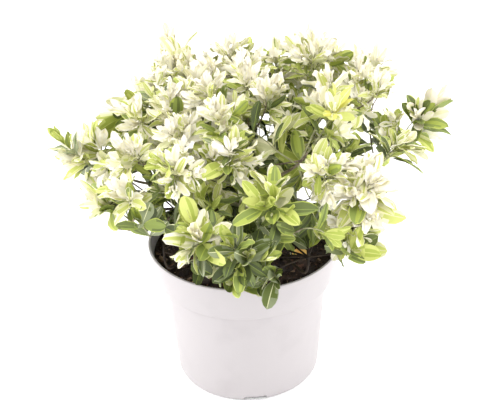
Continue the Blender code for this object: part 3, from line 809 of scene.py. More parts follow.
def plan_shoots(masses):
    """Gives each mass the shoots whose whorls fall in its space."""
    dice = random.Random(SEED + 1)
    planned = []
    for layer, (count, share, lowest) in enumerate(SHOOT_LAYERS):
        for bearing, rise in spread_directions(count, math.radians(lowest), dice):
            size = dice.uniform(*SHOOT_SIZES)
            length = reach(bearing, rise) * share * (1 + dice.uniform(-1, 1) * SHARE_JITTER)
            planned.append((bearing, rise, length - LEAF_ROOM * size, size, layer, None))
    for bearing, rise, share, growth, size, kind in LEADING_SHOOTS:
        way = (math.radians(bearing), math.radians(rise))
        planned.append((*way, reach(*way) * share - LEAF_ROOM + growth, size, -1, kind))
    for bearing, rise, length, size, layer, kind in planned:
        outward = direction(bearing, rise)
        tip = CROWN_FOOT + outward * length
        tip.z = max(tip.z, POT_HEIGHT + LOWEST_TIP)
        lift = SHOOT_LIFT[0] + (SHOOT_LIFT[1] - SHOOT_LIFT[0]) * eased(rise / SHOULDER_RISE)
        axis = (outward + Vector((0.0, 0.0, lift))).normalized()
        mass = min(masses, key=lambda m: (tip - m.site).length)
        mass.shoots.append(Shoot(tip, axis, size, rise, layer, kind))


def way_of(point):
    """The bearing and the rise of a point, seen from the middle of the soil."""
    from_foot = point - CROWN_FOOT
    level = math.hypot(from_foot.x, from_foot.y)
    return math.atan2(from_foot.y, from_foot.x), math.atan2(from_foot.z, level)


def off_way(point, bearing, rise):
    """The angle between the way to a point and the way at a bearing and rise in degrees."""
    way = direction(math.radians(bearing), math.radians(rise))
    return way.angle(point - CROWN_FOOT)


def skirt_rise(bearing):
    """The rise of the crown's underside. It is low where leaves hang over the rim in front."""
    return math.radians(np.interp(math.degrees(bearing), *zip(*SKIRT_RISES)))


def bare_inside(point):
    """Whether a point is low and near the stem at the side where the crown is open below."""
    bearing, _ = way_of(point)
    near = math.hypot(point.x, point.y) < BARE_REACH and point.z < SOIL_TOP + BARE_HEIGHT
    return near and BARE_SIDE[0] < bearing < BARE_SIDE[1]


def wanted(tip, room):
    """Whether a shoot may end there: within reach, above the skirt and in no open gap."""
    bearing, rise = way_of(tip)
    if (tip - CROWN_FOOT).length > reach(bearing, rise) * OVERREACH - room:
        return False
    if rise < skirt_rise(bearing) + TIP_MARGIN or tip.z < POT_HEIGHT + LOWEST_FINE_TIP:
        return False
    if bare_inside(tip):
        return False
    return all(off_way(tip, *way) > math.radians(width) for *way, width in OPEN_GAPS)


def kept_share(tip):
    """The share of the shoots that grow out: fewer do at the thin sides of the crown."""
    return 1 - sum(
        share * math.exp(-((off_way(tip, *way) / math.radians(width)) ** 2))
        for *way, width, share in THIN_SIDES
    )


def view_axes():
    """The way back to the viewer, and the picture's right and up."""
    back = direction(-math.pi / 2, VIEW_RISE)
    level = Vector((1.0, 0.0, 0.0))
    upright = back.cross(level)
    right = level * math.cos(VIEW_ROLL) + upright * math.sin(VIEW_ROLL)
    return back, right, back.cross(right)


def sight_line(column, row):
    """The direction in which the viewer sees a place of the picture."""
    back, right, up = view_axes()
    aside, above = column - PICTURE_SIZE[0] / 2, PICTURE_SIZE[1] / 2 - row
    return (right * aside * PIXEL_WIDTH + up * above * PIXEL_WIDTH - back).normalized()


VIEWER = VIEW_TARGET + view_axes()[0] * VIEW_DISTANCE
OPENINGS = SKY_GAPS + SOIL_WINDOWS
SIGHT_LINES = np.array([sight_line(column, row) for column, row, _ in OPENINGS])
SIGHT_WIDTHS = np.array([radius for *_, radius in OPENINGS]) * PIXEL_WIDTH


def lets_light_through(points):
    """Whether a leaf or twig keeps clear of every line of sight to sky or soil in a gap."""
    away = points - np.array(VIEWER)
    along = away @ SIGHT_LINES.T
    aside = np.sqrt(np.maximum((away**2).sum(axis=1)[:, None] - along**2, 0.0))
    return bool(np.all(aside > along * SIGHT_WIDTHS))


def leader_line(mass, bearer):
    """The leader, in which the wood that bears a mass runs on: steeply in the low ones."""
    start, way = bearer[-1], (bearer[-1] - bearer[-2]).normalized()
    if mass.is_low:
        hub = start + direction(mass.bearing, LOW_LEADER_RISE) * LOW_LEADER_LENGTH
    else:
        outward = (mass.site - CROWN_FOOT).normalized()
        hub = start + (way + outward).normalized() * LEADER_LENGTH
    elbow = start + way * (hub - start).length / 2
    return [bend_point(start, elbow, hub, k / LEADER_STEPS) for k in range(LEADER_STEPS + 1)]


def twig_line(start, end, axis, steps):
    """A twig that leaves its fork straight and comes in along the shoot's own direction."""
    length = (end - start).length
    bend = end - axis * length * TWIG_BEND
    bend.z += min(TWIG_ARCH, length * TWIG_ARCH_SHARE) * max(1 - (end - start).z / length, 0.0)
    return [bend_point(start, bend, end, k / steps) for k in range(steps + 1)]


def forked(line, share, angle, tilt, length):
    """Where a finer shoot that leaves a twig's line ends, its direction and its own line."""
    place = line[round(share * (len(line) - 1))]
    along = (line[-1] - line[0]).normalized()
    across = along.orthogonal().normalized()
    spread = across * math.cos(angle) + along.cross(across) * math.sin(angle)
    axis = along * math.cos(tilt) + spread * math.sin(tilt) + Vector((0, 0, FINE_LIFT))
    axis.normalize()
    tip = place + axis * length
    return tip, axis, twig_line(place, tip, axis, FINE_STEPS)


def finer_shoots(shoot, line, dice):
    """The shoots that a twig forks into, each with its line and the share where it leaves."""
    made = []
    leads = shoot.layer == -1
    tip = shoot.tip + shoot.axis * (LEADING_GROWTH if leads else TIP_GROWTH)
    if leads or wanted(tip, FINE_ROOM * shoot.scale):
        end = Shoot(tip, shoot.axis, shoot.scale, shoot.rise, shoot.layer, shoot.kind)
        made.append((end, line[-1:] + [tip], 1.0))
    forks = TIP_FORKS[shoot.layer]
    first = dice.uniform(0, 2 * math.pi)
    places = [(dice.uniform(*TIP_FORKS_AT), first + 2 * math.pi * k / forks) for k in range(forks)]
    places += [(share + dice.uniform(*SIDE_FORK_SHIFTS), None) for share in SIDE_FORKS_AT]
    for share, turn in places:
        if turn is None:
            layer, tilts, lengths = SIDE_FORK_LAYER, SIDE_FORK_TILTS, SIDE_FORK_LENGTHS
            angle = dice.uniform(0, 2 * math.pi)
        else:
            layer, tilts, lengths = TIP_FORK_LAYERS[shoot.layer], TIP_FORK_TILTS, TIP_FORK_LENGTHS
            angle = turn + dice.uniform(*TIP_FORK_TURNS)
        tilt, length = dice.uniform(*tilts), dice.uniform(*lengths)
        scale = shoot.scale * dice.uniform(*FINE_SIZES)
        tip, axis, fork_line = forked(line, share, angle, tilt, length)
        grows = dice.random() < kept_share(tip) and lets_light_through(np.array(fork_line))
        if grows and wanted(tip, FINE_ROOM * scale):
            fork = Shoot(tip, axis, scale, way_of(tip)[1], layer, shoot.kind)
            made.append((fork, fork_line, share))
    return made


def grow_twigs(mass, bearer):
    """The leader, twigs and fine shoots of a mass as forms, each with the slot of its wood."""
    dice = random.Random(f"twigs {mass.name}")
    leader = leader_line(mass, bearer)
    forms = [limb_mesh(leader, tapering(*LEADER_RADII), TWIG_SIDES, TWIG_RELIEF, LEADER_SWELLING)]
    # The leader and twigs of a low mass take the painted-shade bark
    woods = [SHADED_WOOD if mass.is_low else OLD]
    for shoot in mass.shoots:
        fork_share = dice.uniform(*(LOW_FORKS if mass.is_low else FORKS))
        fork = leader[round(fork_share * LEADER_STEPS)]
        line = twig_line(fork, shoot.tip, shoot.axis, TWIG_STEPS)
        finer = finer_shoots(shoot, line, dice)
        if not finer:
            continue
        line = line[: round(max(share for *_, share in finer) * TWIG_STEPS) + 1]
        mass.twig_lines.append((line, shoot))
        forms.append(limb_mesh(line, tapering(*TWIG_RADII), TWIG_SIDES, TWIG_RELIEF, TWIG_SWELLING))
        is_old = dice.random() < OLD_SHARE or shoot.rise < LOW_RISE
        woods.append(SHADED_WOOD if mass.is_low else OLD if is_old else YOUNG)
        for fine_shoot, fine_line, _ in finer:
            mass.fine_shoots.append(fine_shoot)
            radii = tapering(*FINE_RADII)
            forms.append(limb_mesh(fine_line, radii, FINE_SIDES, 0.0, TWIG_SWELLING))
            woods.append(YOUNG)
    return forms, woods


old_wood = grained_material(
    "old_twig_bark", specular=0.3, scales=TWIG_GRAIN, roughness=(0.60, 0.85), relief=0.0002,
    tones=OLD_WOOD_TONES,
)
young_wood = grained_material(
    "young_twig_bark", specular=0.4, scales=TWIG_GRAIN, roughness=(0.45, 0.65), relief=0.0001,
    tones=YOUNG_WOOD_TONES,
)

plan_shoots(masses)
for mass in masses:
    forms, woods = grow_twigs(mass, bough_lines.get(mass.name, stem_line))
    twigs = joined("twigs_of_" + mass.name, forms, [old_wood, young_wood, shade_painted_bark], woods)
    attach(twigs, "root")
    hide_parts(mass.name)

# Leaves: leathery and evergreen, in whorls at every shoot's end, keeled along the midrib,
# pointed, and wavy at the margin. New ones are cream, older ones green with a cream margin, and
# the oldest are dark. Each leaf is one sheet, and its colours are dealt to its faces.
LEAF_LENGTH = 0.0255
LEAF_WIDTH = 0.0086
LOW_LONGER = 0.50
LOW_BROADER = 0.92
PALE_NARROWER = 0.97
PALE_WAVIER = 2.0
LEAF_ROWS = (0.0, 0.08, 0.18, 0.32, 0.48, 0.64, 0.80, 0.93)
LEAF_HALF_WIDTHS = (0.08, 0.11, 0.42, 0.76, 0.95, 1.0, 0.87, 0.54)
LEAF_COLUMNS = (-1.0, -0.88, -0.50, -0.06, 0.06, 0.50, 0.88, 1.0)
LEAF_FOLDS = (0.10, 0.36)
MARGIN_WAVES = (1.6, 2.6)
MARGIN_WAVE_HEIGHTS = (0.0003, 0.0009)
MARGIN_WAVE_ONSET = 4
LEAF_TWISTS = (-0.55, 0.55)
LEAF_SWAYS = (-0.07, 0.07)
LEAF_ROLLS = (-0.7, 0.7)
OLD_CURL = 0.20
CURL_JITTER = (-0.10, 0.12)
LENGTH_JITTER = (0.74, 1.12)
WIDTH_JITTER = (0.84, 1.14)
OLDEST_SIZE = 1.08
YOUNGEST_SMALLER = 0.36
LOW_YOUNGEST_SMALLER = 0.22
WHORL_LEAVES = {-1: 17, 0: 11, 1: 10, 2: 7, 3: 7}
WHORL_MORE = (-1, 0, 0, 1)
PALE_WHORL_MORE = 1
WHORL_STEP = 0.0014
LEADING_STEP = 0.0020
WHORL_SPREAD = (80, 10)
TOP_SPREAD = (64, 10)
SPREAD_EVENNESS = 0.9
TILT_JITTER = 22
TURN_JITTER = 0.8
LEAST_TILT = 4
# The rises over which leaves stop being low ones, and over which whorls become those of the
# top: each the first rise and the span
LOW_LEAVES = (10, 48)
TOP_LEAVES = (40, 30)
HABIT_JITTER = (-0.4, 0.4)
TWIG_LEAVES_AT = (0.38, 0.54, 0.70, 0.86)
TWIG_LEAF_SIZES = (0.85, 1.15)
TWIG_LEAF_LONGER = 1.22
TWIG_LEAF_BROADER = 1.45
TWIG_LEAF_FOLDS = (0.05, 0.25)
TWIG_LEAF_CURLS = (0.02, 0.24)
TWIG_LEAF_TILTS = (48, 80)
HIGH_RISE = math.radians(36)
KEEP_IN = 0.0004
POT_CLEARANCE = 0.0012
# How a leaf is set, at first and where it has to give way: turn, tilt and size
LEAF_TRIES = ((0, 0, 1.0), (25, -10, 1.0), (-25, -16, 0.95), (50, -26, 0.9), (-50, -38, 0.84))
LEAF_SHINE = 0.30
LEAF_GRAIN = (700.0, 120.0)
LEAF_ROUGHNESS = (0.30, 0.52)
LEAF_RELIEF = 0.00012
LEAF_VEINS = {"Pairs": 9.0, "Slant": 0.9}
VEIN_SHARPNESS = 0.35
MIDRIB_SHARPNESS = 9.0
GRAIN_BESIDE_VEINS = 0.5
LEAF_TONES = {
    "leaf_white_cream": "#FAF6E9",
    "leaf_cream": "#F8F3E0",
    "leaf_butter": "#F2EDC8",
    "leaf_pale_lime": "#DADAAC",
    "leaf_lime": "#C5CB74",
    "leaf_bright_green": "#A6B252",
    "leaf_mid_green": "#84924A",
    "leaf_deep_green": "#636F3A",
    "leaf_dark_green": "#4C5634",
    "leaf_grey_green": "#8B9371",
    "leaf_blush": "#F9EFE0",
    "leaf_gold": "#DAD56A",
}
TONE = {name.removeprefix("leaf_"): index for index, name in enumerate(LEAF_TONES)}
# Each habit: the tones of the blade, the margin's, the midrib's, and how far the margin runs in
LEAF_HABITS = {
    "white": (("white_cream", "white_cream", "cream"), "white_cream", "cream", 0.3),
    "cream": (("cream", "cream", "butter", "white_cream"), "white_cream", "butter", 0.5),
    "blush": (("cream", "blush", "butter"), "blush", "butter", 0.5),
    "speckled": (("pale_lime", "butter", "cream", "lime"), "cream", "pale_lime", 0.4),
    "marbled": (("pale_lime", "lime", "mid_green", "butter"), "cream", "pale_lime", 0.3),
    "lime": (("lime", "lime", "pale_lime"), "butter", "pale_lime", 0.35),
    "bright": (("bright_green", "bright_green", "lime"), "lime", "lime", 0.18),
    "green": (("mid_green", "mid_green", "bright_green"), "lime", "bright_green", 0.14),
    "deep": (("deep_green", "deep_green", "mid_green"), "bright_green", "mid_green", 0.06),
    "dark": (("dark_green", "dark_green", "deep_green"), "deep_green", "mid_green", 0.0),
    "edged": (("dark_green", "deep_green"), "pale_lime", "mid_green", 0.06),
    "grey": (("grey_green", "grey_green", "deep_green"), "grey_green", "pale_lime", 0.0),
    "gold": (("gold", "gold", "lime"), "gold", "pale_lime", 0.3),
}
MARGIN_CHANGE = 0.4
STREAK_CHANGE = 0.25
TWIG_HABITS = {
    "top": ("speckled", "lime", "cream"), "high": ("green", "bright", "lime", "deep"),
    "low": ("dark", "deep", "grey", "green"),
}
# Habits of a whorl, from its oldest leaves to its youngest
WHORL_KINDS = {
    "pale": ("lime", "speckled", "speckled", "cream", "cream", "white", "cream"),
    "creamy": ("bright", "lime", "speckled", "cream", "speckled", "cream"),
    "limy": ("green", "bright", "lime", "marbled", "speckled", "cream"),
    "fresh": ("deep", "green", "bright", "bright", "bright", "lime"),
    "leafy": ("dark", "grey", "edged", "green", "bright", "lime"),
    "shaded": ("dark", "dark", "grey", "deep", "edged"),
    "blushed": ("deep", "green", "deep", "blush", "blush", "white"),
    "tipped": ("grey", "speckled", "grey", "speckled", "green", "bright"),
    "greyish": ("deep", "grey", "grey", "green", "grey"),
    "marbled": ("green", "lime", "marbled", "speckled", "marbled", "speckled"),
    "hanging": ("deep", "green", "grey", "edged", "deep"),
    "golden": ("bright", "green", "lime", "gold", "lime", "speckled"),
    "plume": ("speckled", "blush", "speckled", "cream", "blush"),
}
PALE_KINDS = ("pale", "creamy")
# Whorls unlike most: how many leaves, and how long, broad and far open beside the usual
WHORL_BUILDS = {
    "hanging": (0.60, 1.25, 1.25, 1.0), "greyish": (0.70, 1.0, 1.45, 1.0),
    "fresh": (0.80, 1.12, 1.15, 1.0), "leafy": (0.85, 1.05, 1.10, 1.0),
    "shaded": (0.85, 1.05, 1.15, 1.0), "marbled": (0.90, 1.10, 1.10, 1.0),
    "plume": (1.6, 1.0, 1.40, 0.55), "limy": (0.80, 1.10, 1.10, 1.0),
    "creamy": (0.90, 1.06, 1.06, 1.0),
}
USUAL_BUILD = (1.0, 1.0, 1.0, 1.0)
# Sprays that stand out in the picture: bearing, rise, width and the kind of their whorls
STANDING_OUT = (
    (-86, 40, 7, "fresh"), (-84, 15, 9, "hanging"), (-104, 26, 6, "marbled"),
    (-95, 22, 4, "creamy"), (-117, 33, 6, "greyish"), (-135, 31, 7, "greyish"),
    (-151, 38, 7, "creamy"), (-110, 36, 5, "fresh"), (-123, 47, 5, "fresh"),
    (-66, 20, 7, "greyish"), (-100, 43, 8, "pale"), (-107, 45, 5, "pale"), (-131, 43, 5, "limy"),
    (-90, 60, 4, "leafy"), (-30, 42, 7, "marbled"), (-46, 25, 6, "marbled"), (-62, 51, 5, "limy"),
    (-76, 33, 6, "leafy"), (-74, 50, 7, "limy"), (-88, 30, 6, "leafy"), (-42, 55, 4, "golden"),
)
# The deepest layer of shoots that a spray which stands out takes in
DEEPEST_USUALLY = 1
DEEPEST = {"hanging": 2}
# Where sprays are paler or greener than their neighbours: bearing, rise and how much
SPRAYS = (
    (-96, 50, 0.40), (-107, 65, 0.34), (-40, 82, 0.34), (-38, 66, 0.36), (-54, 45, 0.38),
    (-52, 41, 0.38), (-56, 32, 0.45), (4, 53, 0.34), (-169, 63, 0.46), (-164, 40, 0.42),
    (102, 77, 0.34), (-146, 75, 0.46), (-108, 52, 0.20),
    (-160, 53, 0.40), (178, 48, 0.40), (-138, 58, 0.34), (160, 40, 0.34), (-150, 44, 0.28),
    (-86, 40, -0.30), (-87, 30, -0.30), (-74, 50, -0.24), (-80, 34, -0.26), (-84, 17, -0.24),
    (-134, 33, -0.10), (-33, 46, -0.24), (-88, 58, -0.22),
    (-96, 70, -0.32), (-70, 70, -0.24), (-41, 59, -0.20), (-117, 34, -0.30), (-60, 24, -0.36),
    (-70, 30, -0.30), (-78, 57, -0.10),
)
SPRAY_WIDTH = math.radians(8)
# How pale a whorl is: low down, then how much paler above and greener low in front, both with
# the first rise and the span of the change, then by how far out it is, inside, and by chance.
# Whorls far in, and inner shoots, come out greener, partly for their older leaves and partly as
# painted shade for the shade deep in the crown.
PALE_AT_FOOT = 0.27
PALER_ABOVE = (0.42, 12, 44)
GREENER_IN_FRONT = (0.24, 22, 30)
PALER_OUTSIDE_SHADED_WITHIN = (1.5, 0.88)
GREENER_AND_SHADED_WITHIN = 0.15
PALE_JITTER = 0.14
# The kinds of whorl by how pale they are at least. Some share a place with a second kind
KINDS_BY_PALENESS = (
    (0.72, "pale", 1.0, None), (0.54, "creamy", 0.85, "blushed"), (0.36, "limy", 1.0, None),
    (0.16, "fresh", 0.5, "leafy"), (-math.inf, "leafy", 0.5, "shaded"),
)


def linear(code):
    """A colour code as linear parts."""
    parts = [int(code[k : k + 2], 16) / 255 for k in (1, 3, 5)]
    return tuple(((p + 0.055) / 1.055) ** 2.4 if p > 0.04045 else p / 12.92 for p in parts)


def vein_group():
    """Veins: side veins that slant off the midrib, by the leaf's own length and width."""
    group, given, made = new_group("Leaf Veins", LEAF_VEINS, ("Height",))
    place = group.nodes.new("ShaderNodeUVMap")
    place.uv_map = "blade"
    parts = group.nodes.new("ShaderNodeSeparateXYZ")
    link = group.links.new
    link(place.outputs["UV"], parts.inputs["Vector"])

    def worked(operation, first, second=None):
        step = group.nodes.new("ShaderNodeMath")
        step.operation = operation
        for socket, value in zip(step.inputs, (first, second)):
            if isinstance(value, float):
                socket.default_value = value
            elif value is not None:
                link(value, socket)
        return step.outputs["Value"]

    aside = worked("ABSOLUTE", worked("SUBTRACT", parts.outputs["X"], 0.5))
    slant = worked("MULTIPLY", aside, given.outputs["Slant"])
    slanted = worked("SUBTRACT", parts.outputs["Y"], slant)
    waves = worked("MULTIPLY", worked("MULTIPLY", slanted, given.outputs["Pairs"]), 2 * math.pi)
    ridges = worked("POWER", worked("ABSOLUTE", worked("SINE", waves)), VEIN_SHARPNESS)
    midrib = worked("MINIMUM", worked("MULTIPLY", aside, MIDRIB_SHARPNESS), 1.0)
    link(worked("MULTIPLY", ridges, midrib), made.inputs["Height"])
    return group


VEINS = vein_group()


def leaf_material(name, code):
    """A leathery leaf: one plain colour, a waxy gloss that varies, and veins in relief."""
    material, shader = new_material(name, LEAF_SHINE)
    shader.inputs["Base Color"].default_value = (*linear(code), 1.0)
    grain, bump = add_grain(material, shader, LEAF_GRAIN, LEAF_ROUGHNESS, LEAF_RELIEF)
    tree, link = material.node_tree, material.node_tree.links.new
    veins = new_node(tree, "ShaderNodeGroup", LEAF_VEINS, VEINS)
    relief = tree.nodes.new("ShaderNodeMath")
    relief.operation = "MULTIPLY_ADD"
    relief.inputs[1].default_value = GRAIN_BESIDE_VEINS
    link(grain.outputs["Height"], relief.inputs[0])
    link(veins.outputs["Height"], relief.inputs[2])
    link(relief.outputs["Value"], bump.inputs["Height"])
    return material


def leaf_faces():
    """Faces of one leaf's sheet by the numbers of its points, its row and column, and its UVs."""
    across = len(LEAF_COLUMNS)
    faces, cells = [], []
    for row in range(len(LEAF_ROWS) - 1):
        for column in range(across - 1):
            first = row * across + column
            faces.append((first, first + 1, first + across + 1, first + across))
            cells.append((row, column))
    last = (len(LEAF_ROWS) - 1) * across
    for column in range(across - 1):
        faces.append((last + column, last + column + 1, last + across))
        cells.append((len(LEAF_ROWS) - 1, column))
    places = [((c + 1) / 2, t) for t in LEAF_ROWS for c in LEAF_COLUMNS] + [(0.5, 1.0)]
    return faces, cells, places


LEAF_FACES, LEAF_CELLS, LEAF_PLACES = leaf_faces()


def leaf_sheet(length, width, fold, curl, wavier, dice):
    """One leaf's points, lying along +Y with its upper side to +Z."""
    rows = np.array(LEAF_ROWS)[:, None]
    columns = np.array(LEAF_COLUMNS)[None, :]
    halves = np.array(LEAF_HALF_WIDTHS)[:, None] * width / 2
    wave = dice.uniform(*MARGIN_WAVE_HEIGHTS) * wavier
    phases = (dice.uniform(0, 2 * math.pi), dice.uniform(0, 2 * math.pi))
    waves = dice.uniform(*MARGIN_WAVES)
    left, right = [np.sin(rows * waves * 2 * math.pi + phase) for phase in phases]
    x = columns * halves
    y = rows * length + 0 * columns
    z = np.abs(x) * fold
    onset = np.minimum(rows * MARGIN_WAVE_ONSET, 1)
    z = z + np.where(columns < 0, left, right) * wave * columns**2 * onset
    twist = dice.uniform(*LEAF_TWISTS) * rows**2
    x, z = x * np.cos(twist) - z * np.sin(twist), x * np.sin(twist) + z * np.cos(twist)
    z = z - curl * length * rows**2
    sway = dice.uniform(*LEAF_SWAYS) * length
    x = x + sway * rows**2
    points = np.stack([x, y, z], axis=-1).reshape(-1, 3)
    tip = np.array([[sway, length, -curl * length]])
    return np.concatenate([points, tip])


def leaf_slots(habit, dice):
    """The tone of each face: cream runs in from the margin, and the blade's tones are mixed."""
    blade, margin, midrib, run_in = LEAF_HABITS[habit]
    last = len(LEAF_COLUMNS) - 2
    wide = {}
    for side in (1, last - 1):
        state = dice.random() < run_in
        for row in range(len(LEAF_ROWS)):
            if dice.random() < MARGIN_CHANGE:
                state = dice.random() < run_in
            wide[row, side] = state
    slots = []
    streaks = {}
    for row, column in LEAF_CELLS:
        if column not in streaks or dice.random() < STREAK_CHANGE:
            streaks[column] = dice.choice(blade)
        if column in (0, last) or wide.get((row, column)):
            tone = margin
        elif column == last // 2:
            tone = midrib
        else:
            tone = streaks[column]
        slots.append(TONE[tone])
    return slots


def clear_of_pot(points):
    """Whether every point is above the rim, outside the pot, or over the soil within it."""
    level = np.hypot(points[:, 0], points[:, 1])
    above = points[:, 2] > POT_HEIGHT + POT_CLEARANCE
    outside = level > RIM_RADIUS + POT_CLEARANCE
    inner = RIM_RADIUS - WALL - LIP_STEP - POT_CLEARANCE * 2
    within = (level < inner) & (points[:, 2] > SOIL_TOP + POT_CLEARANCE)
    return bool(np.all(above | outside | within))


def in_box(points):
    """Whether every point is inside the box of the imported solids."""
    low = np.array(cad_box[0]) + KEEP_IN
    high = np.array(cad_box[1]) - KEEP_IN
    return bool(np.all(points >= low) and np.all(points <= high))


def above_skirt(points):
    """Whether a leaf's middle and tip are above the crown's underside."""
    for place in (points[len(points) // 2], points[-1]):
        bearing, rise = way_of(Vector(place))
        if rise < skirt_rise(bearing) or bare_inside(Vector(place)):
            return False
    return True


def placed_leaf(root, axis, angle, tilt, shape, dice):
    """The leaf's points once it grows from its root, tilted off the axis, or None."""
    across = axis.orthogonal().normalized()
    beside = axis.cross(across)
    sheet = leaf_sheet(*shape, dice)
    roll = dice.uniform(*LEAF_ROLLS)
    for twist, raised, smaller in LEAF_TRIES:
        turned = angle + math.radians(twist)
        lean = math.radians(max(tilt + raised, LEAST_TILT))
        spread = across * math.cos(turned) + beside * math.sin(turned)
        along = axis * math.cos(lean) + spread * math.sin(lean)
        upper = axis * math.sin(lean) - spread * math.cos(lean)
        side = along.cross(upper)
        rolled = upper * math.cos(roll) + side * math.sin(roll)
        side = side * math.cos(roll) - upper * math.sin(roll)
        points = (sheet * smaller) @ np.array([side, along, rolled]) + np.array(root)
        if not (in_box(points) and clear_of_pot(points) and above_skirt(points)):
            continue
        if lets_light_through(points):
            return points
    return None


def risen(rise, first, span):
    """How far a rise has come from the first one over the span, both in degrees, from 0 to 1."""
    return eased((rise - math.radians(first)) / math.radians(span))


def whorl_kind(shoot, dice):
    """The kind of a whorl: paler outside and above, greener low in the front, and by spray."""
    if shoot.kind:
        return shoot.kind
    for *way, width, kind in STANDING_OUT:
        deepest = DEEPEST.get(kind, DEEPEST_USUALLY)
        if off_way(shoot.tip, *way) < math.radians(width) and shoot.layer <= deepest:
            return kind
    bearing, rise = way_of(shoot.tip)
    out = (shoot.tip - CROWN_FOOT).length / (reach(bearing, rise) - FINE_ROOM)
    front = max(-math.sin(bearing), 0.0)
    more, *above = PALER_ABOVE
    less, *low = GREENER_IN_FRONT
    pale = PALE_AT_FOOT + more * risen(rise, *above)
    # Greener the farther in: partly older leaves, partly painted shade deep in the crown
    pale += PALER_OUTSIDE_SHADED_WITHIN[0] * (min(out, 1.0) - PALER_OUTSIDE_SHADED_WITHIN[1])
    pale -= less * front**2 * (1 - risen(rise, *low))
    for *way, paler in SPRAYS:
        pale += paler * math.exp(-((off_way(shoot.tip, *way) / SPRAY_WIDTH) ** 2))
    pale += dice.gauss(0, PALE_JITTER)
    # Inner shoots greener still: partly older leaves, partly painted shade deep in the crown
    if shoot.layer >= 2:
        pale -= GREENER_AND_SHADED_WITHIN
    for least, kind, share, second in KINDS_BY_PALENESS:
        if pale > least:
            return kind if second is None or dice.random() < share else second


def whorl_leaves(shoot, dice):
    """The leaves of a shoot's whorl from the oldest to the youngest, each with its tones."""
    kind = whorl_kind(shoot, dice)
    habits = WHORL_KINDS[kind]
    more, longer, broader, opener = WHORL_BUILDS.get(kind, USUAL_BUILD)
    is_pale = kind in PALE_KINDS
    count = round(WHORL_LEAVES[shoot.layer] * more) + dice.choice(WHORL_MORE)
    count += PALE_WHORL_MORE if is_pale else 0
    width = LEAF_WIDTH * (PALE_NARROWER if is_pale else 1.0)
    wavier = PALE_WAVIER if is_pale else 1.0
    step = LEADING_STEP if shoot.layer == -1 else WHORL_STEP
    first = dice.uniform(0, 2 * math.pi)
    low = 1 - risen(shoot.rise, *LOW_LEAVES)
    top = risen(shoot.rise, *TOP_LEAVES)
    spreads = zip(WHORL_SPREAD, TOP_SPREAD)
    widest, closest = [usual + (at_top - usual) * top for usual, at_top in spreads]
    smaller = YOUNGEST_SMALLER + LOW_YOUNGEST_SMALLER * low
    for k in range(count):
        share = k / (count - 1)
        root = shoot.tip - shoot.axis * step * (count - 1 - k)
        tilt = opener * (widest + (closest - widest) * share**SPREAD_EVENNESS)
        tilt += dice.uniform(-1, 1) * TILT_JITTER
        size = shoot.scale * (OLDEST_SIZE - smaller * share**2) * dice.uniform(*LENGTH_JITTER)
        shape = (
            LEAF_LENGTH * size * longer * (1 + LOW_LONGER * low),
            width * size * broader * (1 + LOW_BROADER * low) * dice.uniform(*WIDTH_JITTER),
            dice.uniform(*LEAF_FOLDS), OLD_CURL * (1 - share) + dice.uniform(*CURL_JITTER), wavier,
        )
        turn = first + k * GOLDEN_ANGLE + dice.uniform(-1, 1) * TURN_JITTER
        points = placed_leaf(root, shoot.axis, turn, tilt, shape, dice)
        place = int(share * len(habits) + dice.uniform(*HABIT_JITTER))
        if points is not None:
            yield points, leaf_slots(habits[min(place, len(habits) - 1)], dice)


def twig_leaves(line, shoot, dice):
    """The old leaves along a twig's line, each with its tones."""
    height = "top" if shoot.layer == -1 else "high" if shoot.rise > HIGH_RISE else "low"
    for share in TWIG_LEAVES_AT:
        step = int(share * (len(line) - 1))
        along = (line[step + 1] - line[step]).normalized()
        size = shoot.scale * dice.uniform(*TWIG_LEAF_SIZES)
        shape = (
            LEAF_LENGTH * size * TWIG_LEAF_LONGER, LEAF_WIDTH * size * TWIG_LEAF_BROADER,
            dice.uniform(*TWIG_LEAF_FOLDS), dice.uniform(*TWIG_LEAF_CURLS), 1.0,
        )
        turn, tilt = dice.uniform(0, 2 * math.pi), dice.uniform(*TWIG_LEAF_TILTS)
        points = placed_leaf(line[step], along, turn, tilt, shape, dice)
        if points is not None:
            yield points, leaf_slots(dice.choice(TWIG_HABITS[height]), dice)


def grow_leaves(mass):
    """All leaves of a mass: the whorl of each shoot, and old leaves along the twigs."""
    dice = random.Random(f"leaves {mass.name}")
    grown = []
    for shoot in mass.fine_shoots:
        grown += whorl_leaves(shoot, dice)
    for line, shoot in mass.twig_lines:
        grown += twig_leaves(line, shoot, dice)
    return grown


def leaves_piece(name, grown):
    """The leaves as one mesh, with each leaf's own length and width as its UVs."""
    points = np.concatenate([sheet for sheet, _ in grown])
    tones = [tone for _, slots in grown for tone in slots]
    starts = range(0, len(points), len(LEAF_PLACES))
    faces = [tuple(start + k for k in face) for start in starts for face in LEAF_FACES]
    piece = new_piece(name, points.tolist(), faces, leaf_materials, tones)
    blade = [part for face in LEAF_FACES for k in face for part in LEAF_PLACES[k]]
    layer = piece.data.uv_layers.new(name="blade")
    layer.data.foreach_set("uv", np.tile(np.array(blade, dtype=np.float32), len(grown)))
    return piece


leaf_materials = [leaf_material(name, code) for name, code in LEAF_TONES.items()]
for mass in masses:
    leaves = leaves_piece("leaves_of_" + mass.name, grow_leaves(mass))
    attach(leaves, "root")
    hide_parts(mass.name)

# Fallen leaf: one small leaf that has turned yellow and dropped. It lies loose on the soil in
# front, at the right, propped up on the chips at a slant. It has the sheet of the other leaves.
FALLEN_PLACE = (0.0440, -0.0290)
FALLEN_LIFT = 0.0060
FALLEN_LENGTH = 0.017
FALLEN_WIDTH = 0.0115
FALLEN_FOLD = 0.10
FALLEN_CURL = 0.10
FALLEN_TILT = math.radians(30)
FALLEN_TURN = math.radians(-70)
FALLEN_SEED = 5
FALLEN_TONES = ((0.62, 0.30, 0.06), (0.80, 0.52, 0.16))

